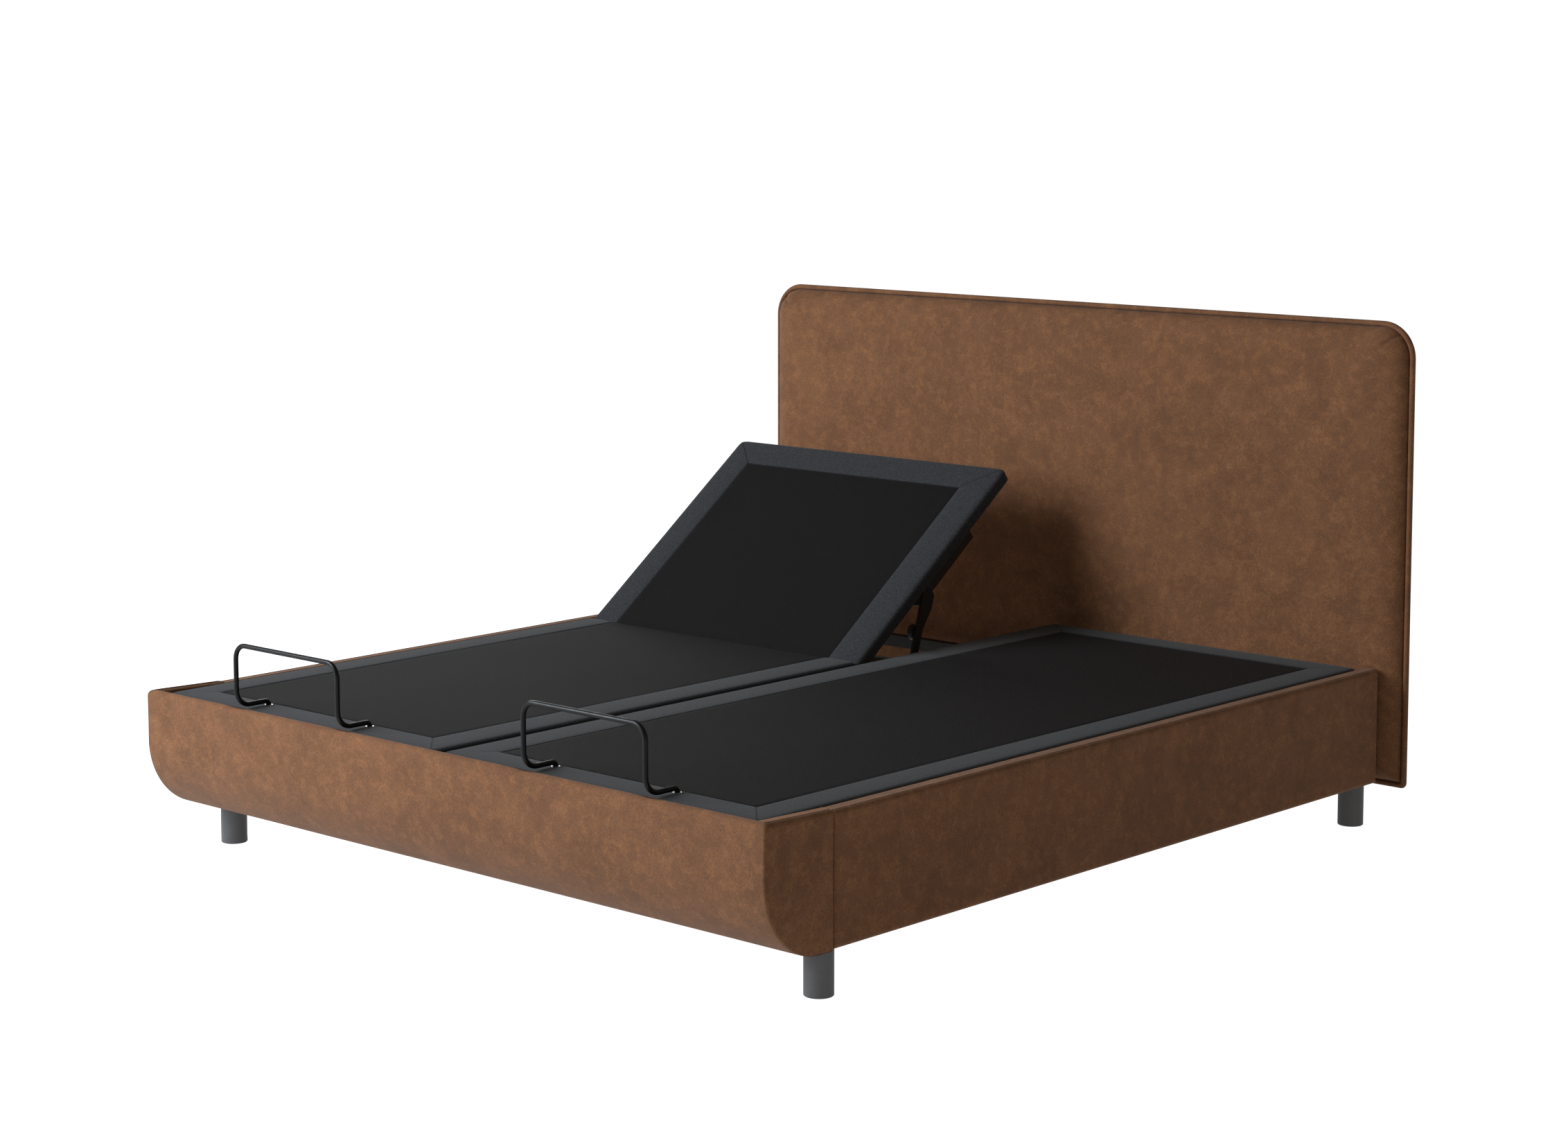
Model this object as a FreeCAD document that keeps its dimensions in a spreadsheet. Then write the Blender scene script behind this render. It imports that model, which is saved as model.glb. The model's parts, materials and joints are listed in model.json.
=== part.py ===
import math
import os
import re

import FreeCAD
import Part
import Sketcher
from FreeCAD import Rotation, Vector

# Adjustable bed base: an upholstered surround with a headboard, holding two steel-framed lying surfaces side by
# side. Each lying surface has a fixed seat, a back section and a thigh-and-calf section, lifted by two torque
# tubes and one drive. Millimetres. X runs across the bed, Y from the foot to the head, Z up from the floor, and
# the origin is on the floor under the middle of the whole bed.

SIZES = {
    # whole bed
    "overall_length": 2190,
    "bed_width": 1900,
    "surround_bottom": 98,
    # headboard
    "headboard_width": 2002,
    "headboard_top": 1184,
    "headboard_bottom": 85,
    "headboard_corner": 86,
    "headboard_foot_corner": 13,
    "panel_thick": 20,
    "panel_inset": 10,
    "pad_thick": 50,
    "pad_inset": 13,
    "rim_play": 0.3,
    "rim_depth": 15,
    # side rails and foot board
    "rail_thick": 35,
    "rail_top": 370,
    "foot_depth": 194,
    "foot_top": 378,
    "foot_wall": 18,
    "foot_curve_depth": 150,
    "foot_curve_rise": 168,
    "foot_floor": 22,
    "tray_over": 50,
    "rail_gap": 2,
    # legs and steel under the bases
    "leg_radius": 30,
    "leg_inset": 47,
    "leg_foot_y": 202,
    "leg_head_y": 2079,
    "leg_chamfer": 1.5,
    "plate": 4,
    "shelf_top": 250,
    "shelf_wide": 36,
    "sole_wide": 70,
    "foot_bracket_from": 196,
    "foot_bracket_to": 300,
    "head_bracket_from": 2010,
    "head_bracket_to": 2116,
    "foot_bolt_near": 215,
    "foot_bolt_far": 280,
    "head_bolt_near": 2030,
    "head_bolt_far": 2095,
    "bolt_low": 160,
    "bolt_high": 215,
    "bolt_head": 5,
    "bolt_head_radius": 6.5,
    "bolt_reach": 20,
    "beam_half": 40,
    "beam_low": 210,
    "beam_foot": 60,
    "beam_head": 2110,
    "beam_leg_radius": 25,
    "beam_leg_near": 500,
    "beam_leg_far": 1720,
    "beam_flange": 6,
    # lying surface, measured from its inner edge beside the middle of the bed
    "deck_inner": 10,
    "deck_width": 899,
    "deck_foot": 22,
    "deck_head": 2088,
    "deck_top": 372,
    "board_low": 342,
    "board_thick": 16,
    "board_inset": 12,
    # hinge lines, measured from the foot
    "knee": 868,
    "thigh_hinge": 1255,
    "back_hinge": 1382,
    "axis_z": 320,
    "back_rest": 36.5,
    "back_limit": 55,
    "thigh_limit": 32,
    "gap": 1.5,
    # steel base frame
    "frame_foot": 40,
    "frame_head": 2080,
    "frame_rail_in": 4,
    "frame_rail_wide": 20,
    "frame_low": 250,
    "frame_top": 305,
    "cross_low": 255,
    "cross_top": 285,
    "cross_wide": 25,
    "cross_foot": 66,
    "cross_knee": 620,
    "cross_head": 2050,
    "seat_bar_at": 48,
    "seat_bar_high": 30,
    "bearing_half": 22,
    "bearing_over": 17,
    "strap_low": 338.7,
    "strap_top": 341.8,
    # hinges: leaves on the moving sections run inside ears that carry the pins
    "hinge_pin": 5,
    "eye_radius": 11,
    "eye_clear": 14,
    "leaf_in": 84,
    "leaf_out": 90,
    "leaf_drop": 5,
    "ear_in": 91.5,
    "ear_out": 97.5,
    "ear_over": 14,
    "pin_in": 83,
    "back_leaf": 150,
    "thigh_leaf": 75,
    "calf_leaf": 90,
    # lift tracks and plates under the moving sections
    "track_in": 61,
    "track_wide": 22,
    "track_web": 4,
    "track_drop": 11,
    "slot_half": 8,
    "back_track_from": 236,
    "back_track_to": 452,
    "thigh_track_from": 266,
    "thigh_track_to": 346,
    "back_strap_to": 540,
    "side_plate_in": 8,
    "side_plate_out": 22,
    "side_plate_drop": 8,
    "side_plate_from": 325,
    "side_plate_to": 515,
    "tab_from": 395,
    "tab_to": 450,
    "calf_tab_from": 38,
    "calf_tab_to": 58,
    "shoe_from": 40,
    "shoe_to": 56,
    "shoe_lift": 1,
    # lift arms
    "back_arm": 215,
    "leg_arm": 165,
    "tube_radius": 16,
    "pin_radius": 4,
    "bore_play": 0.06,
    "journal": 8,
    "arm_half": 12,
    "arm_in": 31,
    "arm_thick": 6,
    "wheel_radius": 19.5,
    "wheel_at": 86,
    "wheel_in": 38.5,
    "wheel_out": 52.5,
    "roller_radius": 7.7,
    "roller_in": 64,
    "roller_out": 78,
    "stub_over": 0.5,
    "brace_at": 167,
    "leg_brace_at": 125,
    "brace_half": 15,
    "heel_lead": 70,
    "heel_trail": 36,
    "heel_half": 16,
    "heel_deep": 30,
    # drive
    "lever": 50,
    "lever_tip": 8,
    "lever_half": 6,
    "case_foot": 1026,
    "case_head": 1664,
    "case_half": 50,
    "case_low": 190,
    "case_top": 298,
    "case_wall": 4,
    "motor_foot": 1240,
    "motor_head": 1450,
    "motor_over": 22,
    "motor_drop": 18,
    "motor_rise": 60,
    "cheek_in": 30,
    "cheek_out": 38,
    "cheek_half": 24,
    "cheek_over": 18.4,
    "saddle_half": 45,
    "saddle_play": 0.3,
    "lever_slot_half": 9,
    "lever_slot_reach": 60,
    "block_half": 20,
    "block_long": 30,
    "block_low": 215,
    "block_top": 291,
    "push_gap": 8.6,
    "control_foot": 646,
    "control_head": 746,
    "control_half": 85,
    "control_low": 250,
    "control_top": 288,
    # mattress retainer bars
    "wire_radius": 5.5,
    "bar_half": 171.5,
    "bar_plane": 6,
    "bar_run_z": 382.5,
    "bar_top_z": 520,
    "bar_tail": 94,
    "bar_low_bend": 36,
    "bar_top_bend": 32,
    "bar_tail_bend": 10,
}

document = FreeCAD.newDocument("AdjustableBedBase")
sheet = document.addObject("Spreadsheet::Sheet", "Sizes")
for row, (alias, value) in enumerate(SIZES.items(), start=1):
    sheet.set(f"A{row}", alias)
    sheet.set(f"B{row}", str(value))
    sheet.setAlias(f"B{row}", alias)
document.recompute()

SUBPARTS = []
SIDES = {"left": -1, "right": 1}

# Heights and distances that several sub-parts share, as formulas on the sheet.
RAIL_INNER = "(bed_width / 2 - rail_thick)"
BOARD_TOP = "(board_low + board_thick)"
DECK_MIDDLE = "(deck_inner + deck_width / 2)"
BORE = "(pin_radius + bore_play)"
BACK_PIVOT = "(back_hinge + back_arm)"
LEG_PIVOT = "(thigh_hinge - leg_arm)"


def formula(text):
    """Writes a size formula for setExpression: along_NAME is a distance NAME measured from the foot."""
    text = re.sub(r"\balong_([a-z_]+)", r"(\1 - overall_length / 2)", str(text))
    return re.sub(r"[a-z_]{3,}", lambda word: f"Sizes.{word[0]}" if word[0] in SIZES else word[0], text)


def number(text):
    """The value of a size formula, for shapes that are built with Part's own functions."""
    text = re.sub(r"\balong_([a-z_]+)", r"(\1 - overall_length / 2)", str(text))
    text = re.sub(r"[a-z_]{3,}", lambda word: str(SIZES.get(word[0], word[0])), text)
    return float(sheet.evalExpression(text))


def along(distance):
    """A distance from the foot face as a Y formula."""
    return f"({distance} - overall_length / 2)"


def bind(item, **formulas):
    for name, text in formulas.items():
        item.setExpression(name.replace("__", "."), formula(text))
    return item


def part(item, label):
    """Marks an object as a sub-part, which is written to a file under its label."""
    item.Label = label
    SUBPARTS.append(item)
    return item


def box(name, x_span, y_span, z_span):
    item = document.addObject("Part::Box", name)
    for size, place, (low, high) in zip(("Length", "Width", "Height"), "xyz", (x_span, y_span, z_span)):
        item.setExpression(size, formula(f"({high}) - ({low})"))
        item.setExpression(f"Placement.Base.{place}", formula(low))
    return item


def rod(name, x_span, y_at, z_at, radius):
    """A cylinder lying along X."""
    item = document.addObject("Part::Cylinder", name)
    item.Placement.Rotation = Rotation(Vector(0, 1, 0), 90)
    low, high = x_span
    return bind(
        item,
        Radius=radius,
        Height=f"({high}) - ({low})",
        Placement__Base__x=low,
        Placement__Base__y=y_at,
        Placement__Base__z=z_at,
    )


def post(name, x_at, y_at, z_span, radius):
    """A cylinder standing along Z."""
    item = document.addObject("Part::Cylinder", name)
    low, high = z_span
    return bind(
        item,
        Radius=radius,
        Height=f"({high}) - ({low})",
        Placement__Base__x=x_at,
        Placement__Base__y=y_at,
        Placement__Base__z=low,
    )


def fuse(name, shapes):
    item = document.addObject("Part::MultiFuse", name)
    item.Shapes = shapes
    return item


def cut(name, base, tools):
    item = document.addObject("Part::Cut", name)
    item.Base = base
    item.Tool = tools[0] if len(tools) == 1 else fuse(name + "_tool", tools)
    return item


def group(name, shapes):
    item = document.addObject("Part::Compound", name)
    item.Links = shapes
    return item


def turned(item, y_at, z_at, angle):
    """Turns an object about a line along X, through y_at and z_at."""
    item.Placement = FreeCAD.Placement(Vector(), Rotation(Vector(1, 0, 0), 0.001))
    return bind(
        item,
        Placement__Rotation__Angle=angle,
        Placement__Base__y=f"({y_at}) - (({y_at}) * cos(({angle}) * 1deg) - ({z_at}) * sin(({angle}) * 1deg))",
        Placement__Base__z=f"({z_at}) - (({y_at}) * sin(({angle}) * 1deg) + ({z_at}) * cos(({angle}) * 1deg))",
    )


def plane_of(body, role):
    return next(feature for feature in body.Origin.OriginFeatures if feature.Role == role)


def sketch_on(body, role, offset):
    """A sketch on one of a body's own planes, moved along the plane's normal."""
    sketch = body.newObject("Sketcher::SketchObject", body.Name + "_outline")
    sketch.AttachmentSupport = (plane_of(body, role), [""])
    sketch.MapMode = "FlatFace"
    sketch.setExpression("AttachmentOffset.Base.z", formula(offset))
    return sketch


def polygon(sketch, points):
    """A closed outline of straight lines through points given by formulas."""
    corners = [(number(u), number(v)) for u, v in points]
    for start, end in zip(corners, corners[1:] + corners[:1]):
        sketch.addGeometry(Part.LineSegment(Vector(*start, 0), Vector(*end, 0)), False)
    count = len(points)
    for index in range(count):
        sketch.addConstraint(Sketcher.Constraint("Coincident", index, 2, (index + 1) % count, 1))
    for index, (u, v) in enumerate(points):
        for kind, text, value in (("DistanceX", u, corners[index][0]), ("DistanceY", v, corners[index][1])):
            place = sketch.addConstraint(Sketcher.Constraint(kind, index, 1, value))
            sketch.renameConstraint(place, f"point{index}_{kind[-1]}")
            sketch.setExpression(f"Constraints.point{index}_{kind[-1]}", formula(text))


def prism(name, points, x_span):
    """A solid with a constant side profile: points are (y, z) formulas, x_span its two ends."""
    body = document.addObject("PartDesign::Body", name)
    low, high = x_span
    sketch = sketch_on(body, "YZ_Plane", low)
    polygon(sketch, points)
    pad = body.newObject("PartDesign::Pad", name + "_pad")
    pad.Profile = sketch
    bind(pad, Length=f"({high}) - ({low})")
    return body


def rounded_panel(name, half_width, z_span, corners, y_span):
    """An upright panel with rounded corners: corners are the lower and upper radii."""
    body = document.addObject("PartDesign::Body", name)
    y_low, y_high = y_span
    sketch = sketch_on(body, "XZ_Plane", f"-({y_high})")
    wide = number(half_width)
    low, high = (number(z) for z in z_span)
    small, large = (number(radius) for radius in corners)
    quarter = math.pi / 2
    lines = [
        ((-wide + small, low), (wide - small, low)),
        ((wide, low + small), (wide, high - large)),
        ((wide - large, high), (-wide + large, high)),
        ((-wide, high - large), (-wide, low + small)),
    ]
    arcs = [
        ((wide - small, low + small), small, -quarter),
        ((wide - large, high - large), large, 0),
        ((-wide + large, high - large), large, quarter),
        ((-wide + small, low + small), small, 2 * quarter),
    ]
    for line, (centre, radius, start) in zip(lines, arcs):
        sketch.addGeometry(Part.LineSegment(Vector(*line[0], 0), Vector(*line[1], 0)), False)
        circle = Part.Circle(Vector(*centre, 0), Vector(0, 0, 1), radius)
        sketch.addGeometry(Part.ArcOfCircle(circle, start, start + quarter), False)
    for line in range(4):
        arc = 2 * line + 1
        sketch.addConstraint(Sketcher.Constraint("Tangent", 2 * line, 2, arc, 1))
        sketch.addConstraint(Sketcher.Constraint("Tangent", arc, 2, (2 * line + 2) % 8, 1))
    for line in (0, 4):
        sketch.addConstraint(Sketcher.Constraint("Horizontal", line))
    for line in (2, 6):
        sketch.addConstraint(Sketcher.Constraint("Vertical", line))
    wanted = (
        ("right", "DistanceX", 2, 1, wide, half_width),
        ("left", "DistanceX", 6, 1, -wide, f"-({half_width})"),
        ("bottom", "DistanceY", 0, 1, low, z_span[0]),
        ("top", "DistanceY", 4, 1, high, z_span[1]),
    )
    for title, kind, edge, end, value, text in wanted:
        place = sketch.addConstraint(Sketcher.Constraint(kind, edge, end, value))
        sketch.renameConstraint(place, title)
        sketch.setExpression(f"Constraints.{title}", formula(text))
    for title, arc, value, text in (
        ("low_right", 1, small, corners[0]),
        ("low_left", 7, small, corners[0]),
        ("high_right", 3, large, corners[1]),
        ("high_left", 5, large, corners[1]),
    ):
        place = sketch.addConstraint(Sketcher.Constraint("Radius", arc, value))
        sketch.renameConstraint(place, title)
        sketch.setExpression(f"Constraints.{title}", formula(text))
    pad = body.newObject("PartDesign::Pad", name + "_pad")
    pad.Profile = sketch
    bind(pad, Length=f"({y_high}) - ({y_low})")
    return body


def fixed_shape(label, shape):
    """A sub-part whose shape is made with Part's own functions."""
    item = document.addObject("Part::Feature", label)
    item.Shape = shape
    item.Placement = FreeCAD.Placement()
    return part(item, label)


# --- Upholstered surround -------------------------------------------------------------------------------------


def foot_profile(wall, floor, top, back):
    """The foot board's side outline, set in from its outer skin by a wall and a floor thickness."""
    reach = number("foot_curve_depth")
    rise = number("foot_curve_rise")
    base = number("surround_bottom")
    front = -number("overall_length") / 2
    centre = Vector(0, front + reach, base + rise)
    low = base + floor
    wide = reach - wall
    tall = rise - floor
    long_axis = Vector(0, 0, 1) if tall > wide else Vector(0, 1, 0)
    short_axis = Vector(0, 1, 0) if tall > wide else Vector(0, 0, 1)
    major = centre + long_axis * max(wide, tall)
    minor = centre + short_axis * min(wide, tall)
    ellipse = Part.Ellipse(major, minor, centre)
    start = ellipse.parameter(Vector(0, front + wall, base + rise))
    end = ellipse.parameter(Vector(0, front + reach, low))
    curve = ellipse.toShape(min(start, end), max(start, end))
    if curve.Length > math.pi * max(wide, tall):
        curve = ellipse.toShape(max(start, end), min(start, end) + 2 * math.pi)
    corners = [
        Vector(0, front + reach, low),
        Vector(0, front + back, low),
        Vector(0, front + back, top),
        Vector(0, front + wall, top),
        Vector(0, front + wall, base + rise),
    ]
    lines = [Part.makeLine(a, b) for a, b in zip(corners, corners[1:])]
    return Part.Face(Part.Wire(Part.__sortEdges__([curve] + lines)))


def make_foot_board():
    half = number("bed_width / 2")
    inner = number(RAIL_INNER)
    skin = foot_profile(0, 0, number("foot_top"), number("foot_depth"))
    outer = skin.translated(Vector(-half, 0, 0)).extrude(Vector(2 * half, 0, 0))
    over = number("tray_over")
    top = number("foot_top") + over
    back = number("foot_depth") + over
    hollow = foot_profile(number("foot_wall"), number("foot_floor"), top, back)
    tray = hollow.translated(Vector(-inner, 0, 0)).extrude(Vector(2 * inner, 0, 0))
    board = outer.cut(tray)
    fixed_shape("foot_board", board)


def bolt_places(end):
    """Where the bolts of a corner bracket stand, as (y, z) formulas."""
    distances = (f"{end}_bolt_near", f"{end}_bolt_far")
    return [(along(y), z) for y in distances for z in ("bolt_low", "bolt_high")]


def make_side_rail(side, sign):
    label = f"side_rail_{side}"
    x_span = (RAIL_INNER, "bed_width / 2") if sign > 0 else ("-bed_width / 2", f"-{RAIL_INNER}")
    y_span = (along("foot_depth"), along("overall_length - panel_thick - pad_thick - rail_gap"))
    plank = box(label + "_plank", x_span, y_span, ("surround_bottom", "rail_top"))
    inner = f"{sign} * {RAIL_INNER}"
    deep = "(bolt_reach + 2)"
    span = (inner, f"{inner} + {deep}") if sign > 0 else (f"{inner} - {deep}", inner)
    holes = []
    for index, (y_at, z_at) in enumerate(bolt_places("foot") + bolt_places("head")):
        holes.append(rod(f"{label}_hole{index}", span, y_at, z_at, BORE))
    part(cut(label, plank, holes), label)


def make_headboard():
    back = "overall_length / 2"
    front = f"({back} - panel_thick)"
    half = "headboard_width / 2"
    z_span = ("headboard_bottom", "headboard_top")
    radii = ("headboard_foot_corner", "headboard_corner")
    panel_radii = ("headboard_foot_corner - panel_inset / 2", "headboard_corner - panel_inset")
    panel_z = ("headboard_bottom + panel_inset", "headboard_top - panel_inset")
    panel = rounded_panel("headboard_panel", f"{half} - panel_inset", panel_z, panel_radii, (front, back))
    part(panel, "headboard_panel")
    inset = "pad_inset"
    pad_radii = (f"headboard_foot_corner - {inset} / 2", f"headboard_corner - {inset}")
    pad_z = (f"headboard_bottom + {inset}", f"headboard_top - {inset}")
    pad_y = (f"{front} - pad_thick", front)
    pad = rounded_panel("headboard_pad", f"{half} - {inset}", pad_z, pad_radii, pad_y)
    part(pad, "headboard_pad")
    rim_y = (f"{front} - rim_depth", front)
    outer = rounded_panel("rim_outer", half, z_span, radii, rim_y)
    room = f"({inset} - rim_play)"
    hole_z = (f"headboard_bottom + {room}", f"headboard_top - {room}")
    through = (f"{front} - rim_depth - 5", f"{front} + 5")
    inner = rounded_panel("rim_inner", f"{half} - {room}", hole_z, pad_radii, through)
    part(cut("headboard_rim", outer, [inner]), "headboard_rim")


def make_legs():
    for end in ("foot", "head"):
        for side, sign in SIDES.items():
            name = f"leg_{end}_{side}"
            x_at = f"{sign} * (bed_width / 2 - leg_inset)"
            shank = post(name + "_shank", x_at, f"along_leg_{end}_y", ("0", "surround_bottom"), "leg_radius")
            leg = document.addObject("Part::Chamfer", name)
            leg.Base = shank
            document.recompute()
            foot_edge = min(range(len(shank.Shape.Edges)), key=lambda i: shank.Shape.Edges[i].CenterOfMass.z)
            leg.Edges = [(foot_edge + 1, SIZES["leg_chamfer"], SIZES["leg_chamfer"])]
            part(leg, name)


def make_brackets():
    """Steel corner brackets: a wall plate, a plate over the leg and a shelf that carries the base."""
    plates = []
    bolts = []
    for side, sign in SIDES.items():
        def across(low, high):
            low, high = f"({RAIL_INNER} - ({low}))", f"({RAIL_INNER} - ({high}))"
            return (low, high) if sign > 0 else (f"-{high}", f"-{low}")

        for end in ("foot", "head"):
            name = f"bracket_{end}_{side}"
            span = (along(f"{end}_bracket_from"), along(f"{end}_bracket_to"))
            wall = box(name + "_wall", across("plate", "0"), span, ("surround_bottom", "shelf_top"))
            sole = box(name + "_sole", across("sole_wide", "0"), span,
                       ("surround_bottom", "surround_bottom + plate"))
            shelf = box(name + "_shelf", across("shelf_wide", "0"), span, ("shelf_top - plate", "shelf_top"))
            holes = []
            for index, (y_at, z_at) in enumerate(bolt_places(end)):
                holes.append(rod(f"{name}_hole{index}", across("plate + 1", "-1"), y_at, z_at, BORE))
                head = rod(f"{name}_head{index}", across("plate + bolt_head", "plate"), y_at, z_at,
                           "bolt_head_radius")
                shank = rod(f"{name}_shank{index}", across("plate", "-bolt_reach"), y_at, z_at, "pin_radius")
                bolts.append(fuse(f"{name}_bolt{index}", [head, shank]))
            plates.append(cut(name, fuse(name + "_steel", [wall, sole, shelf]), holes))
    part(group("corner_brackets", plates), "corner_brackets")
    part(group("corner_bolts", bolts), "corner_bolts")


def make_centre_beam():
    y_span = ("along_beam_foot", "along_beam_head")
    beam = box("beam_tube", ("-beam_half", "beam_half"), y_span, ("beam_low", "frame_low"))
    part(beam, "centre_beam")
    legs = []
    for end in ("near", "far"):
        y_at = along(f"beam_leg_{end}")
        pole = post(f"beam_leg_{end}", "0", y_at, ("beam_flange", "beam_low"), "beam_leg_radius")
        foot = post(f"beam_flange_{end}", "0", y_at, ("0", "beam_flange"), "leg_radius")
        legs.append(fuse(f"beam_support_{end}", [pole, foot]))
    part(group("centre_legs", legs), "centre_legs")


# --- Steel base under each lying surface ----------------------------------------------------------------------


def from_edge(sign, edge, low, high):
    """An X span measured in from a lying surface's inner or outer edge."""
    if edge == "inner":
        span = (f"(deck_inner + {low})", f"(deck_inner + {high})")
    else:
        span = (f"(deck_inner + deck_width - {high})", f"(deck_inner + deck_width - {low})")
    if sign > 0:
        return span
    return (f"-{span[1]}", f"-{span[0]}")


def full_width(sign, inset):
    return from_edge(sign, "inner", inset, f"(deck_width - {inset})")


def make_base_rail(sign, edge, name):
    """A long frame tube with the bearing plates of both torque tubes welded to its inner face."""
    inner_face = "(frame_rail_in + frame_rail_wide)"
    rail_span = from_edge(sign, edge, "frame_rail_in", inner_face)
    plate_span = from_edge(sign, edge, inner_face, f"({inner_face} + plate)")
    bore_span = from_edge(sign, edge, f"({inner_face} - 1)", f"({inner_face} + plate + 1)")
    y_span = ("along_frame_foot", "along_frame_head")
    solids = [box(name + "_tube", rail_span, y_span, ("frame_low", "frame_top"))]
    bores = []
    for title, pivot in (("back", BACK_PIVOT), ("leg", LEG_PIVOT)):
        y_at = along(pivot)
        plate_y = (f"{y_at} - bearing_half", f"{y_at} + bearing_half")
        plate_z = ("frame_low", "axis_z + bearing_over")
        solids.append(box(f"{name}_{title}_bearing", plate_span, plate_y, plate_z))
        bores.append(rod(f"{name}_{title}_bore", bore_span, y_at, "axis_z", "journal + bore_play"))
    return cut(name, fuse(name + "_steel", solids), bores)


def make_cross_bars(sign, side):
    """Bars between the two base rails, and the seat bar whose ears carry the thigh and back hinge pins."""
    inner = full_width(sign, "(frame_rail_in + frame_rail_wide)")
    bars = []
    for title in ("foot", "knee", "head"):
        y_span = (f"along_cross_{title}", f"along_cross_{title} + cross_wide")
        bars.append(box(f"cross_{title}_{side}", inner, y_span, ("cross_low", "cross_top")))
    seat_y = ("along_thigh_hinge + seat_bar_at", "along_thigh_hinge + seat_bar_at + cross_wide")
    seat_z = ("frame_top", "frame_top + seat_bar_high")
    solids = [box(f"seat_bar_{side}", full_width(sign, "frame_rail_in"), seat_y, seat_z)]
    ear_y = ("along_thigh_hinge - eye_radius", "along_back_hinge + eye_radius")
    ear_z = ("axis_z - eye_radius", "axis_z + ear_over")
    for edge in ("inner", "outer"):
        name = f"hinge_ear_{edge}_{side}"
        pin_span = from_edge(sign, edge, "pin_in", "ear_out")
        solids.append(box(name, from_edge(sign, edge, "ear_in", "ear_out"), ear_y, ear_z))
        for title in ("thigh", "back"):
            solids.append(rod(f"{name}_{title}_pin", pin_span, f"along_{title}_hinge", "axis_z", "hinge_pin"))
    bars.append(fuse(f"seat_bar_steel_{side}", solids))
    part(group(f"base_cross_bars_{side}", bars), f"base_cross_bars_{side}")


# --- Lying surface: boards and pads ---------------------------------------------------------------------------


def bevel(height, limit):
    """How far a section's end leans back at a height over its hinge, so that the fold can close."""
    return f"(({height} - axis_z) * tan({limit} / 2 * 1deg) + gap)"


SECTIONS = {
    # name: (foot end, fold limit there, head end, fold limit there)
    "calf": ("deck_foot", None, "knee", "0"),
    "thigh": ("knee", "0", "thigh_hinge", "thigh_limit"),
    "seat": ("thigh_hinge", "thigh_limit", "back_hinge", "back_limit"),
    "back": ("back_hinge", "back_limit", "deck_head", None),
}


def section_outline(section, low, high, inset):
    """The side profile of a board or pad between two heights."""
    foot, foot_limit, head, head_limit = SECTIONS[section]
    foot_at = [along(f"({foot} + {inset if foot_limit is None else bevel(z, foot_limit)})") for z in (low, high)]
    head_at = [along(f"({head} - {inset if head_limit is None else bevel(z, head_limit)})") for z in (low, high)]
    return [(foot_at[0], low), (head_at[0], low), (head_at[1], high), (foot_at[1], high)]


def bar_x(sign, end):
    """Where a leg of a retainer bar stands."""
    return f"({sign} * {DECK_MIDDLE} + {end} * bar_half)"


def make_section(section, sign, side):
    """A plywood board and the upholstered pad that caps it."""
    board_name = f"{section}_board_{side}"
    pad_name = f"{section}_pad_{side}"
    board_x = full_width(sign, "board_inset")
    board_outline = section_outline(section, "board_low", BOARD_TOP, "board_inset")
    nest_outline = section_outline(section, "(board_low - 5)", BOARD_TOP, "board_inset")
    pad_outline = section_outline(section, "board_low", "deck_top", "0")
    board = prism(board_name + "_plank", board_outline, board_x)
    nest = prism(pad_name + "_nest", nest_outline, board_x)
    pad = prism(pad_name + "_block", pad_outline, full_width(sign, "0"))
    board_tools = []
    pad_tools = [nest]
    if section == "calf":
        for end in (-1, 1):
            x_at = bar_x(sign, end)
            y_at = along("bar_tail")
            through_board = ("board_low - 2", f"{BOARD_TOP} + 2")
            through_pad = ("board_low - 2", "deck_top + 2")
            board_hole = post(f"{board_name}_hole{end + 1}", x_at, y_at, through_board, "wire_radius + bore_play")
            pad_hole = post(f"{pad_name}_hole{end + 1}", x_at, y_at, through_pad, "wire_radius + 0.5")
            board_tools.append(board_hole)
            pad_tools.append(pad_hole)
    board_item = cut(board_name, board, board_tools) if board_tools else group(board_name, [board])
    pad_item = cut(pad_name, pad, pad_tools)
    if section == "back":
        for item in (board_item, pad_item):
            turned(item, "along_back_hinge", "axis_z", rest_angle(sign))
    part(board_item, board_name)
    part(pad_item, pad_name)


def rest_angle(sign):
    """The left back stands raised and the right one lies flat."""
    return "back_rest" if sign < 0 else "(0 * back_rest)"


# --- Steel under the moving boards ----------------------------------------------------------------------------


def lift_track(name, sign, edge, y_span):
    """A bar with a slot that an arm's roller runs in, open towards the arm."""
    bar_x = from_edge(sign, edge, "track_in", "(track_in + track_wide)")
    slot_x = from_edge(sign, edge, "(track_in - 1)", "(track_in + track_wide - track_web)")
    bar = box(name + "_bar", bar_x, y_span, ("axis_z - track_drop", "strap_low"))
    y_low, y_high = y_span
    slot_y = (f"{y_low} - 1", f"{y_high} + 1")
    slot = box(name + "_slot", slot_x, slot_y, ("axis_z - slot_half", "axis_z + slot_half"))
    return cut(name, bar, [slot])


def hinge_leaf(name, x_span, y_from, y_hinge, y_to):
    """A plate under a board, with an eye round the hinge pin."""
    eye = rod(name + "_eye", x_span, y_hinge, "axis_z", "eye_radius")
    plate = box(name + "_plate", x_span, (y_from, y_to), ("axis_z - leaf_drop", "strap_top"))
    hole = rod(name + "_hole", x_span, y_hinge, "axis_z", "hinge_pin + bore_play")
    return cut(name, fuse(name + "_steel", [eye, plate]), [hole])


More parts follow.
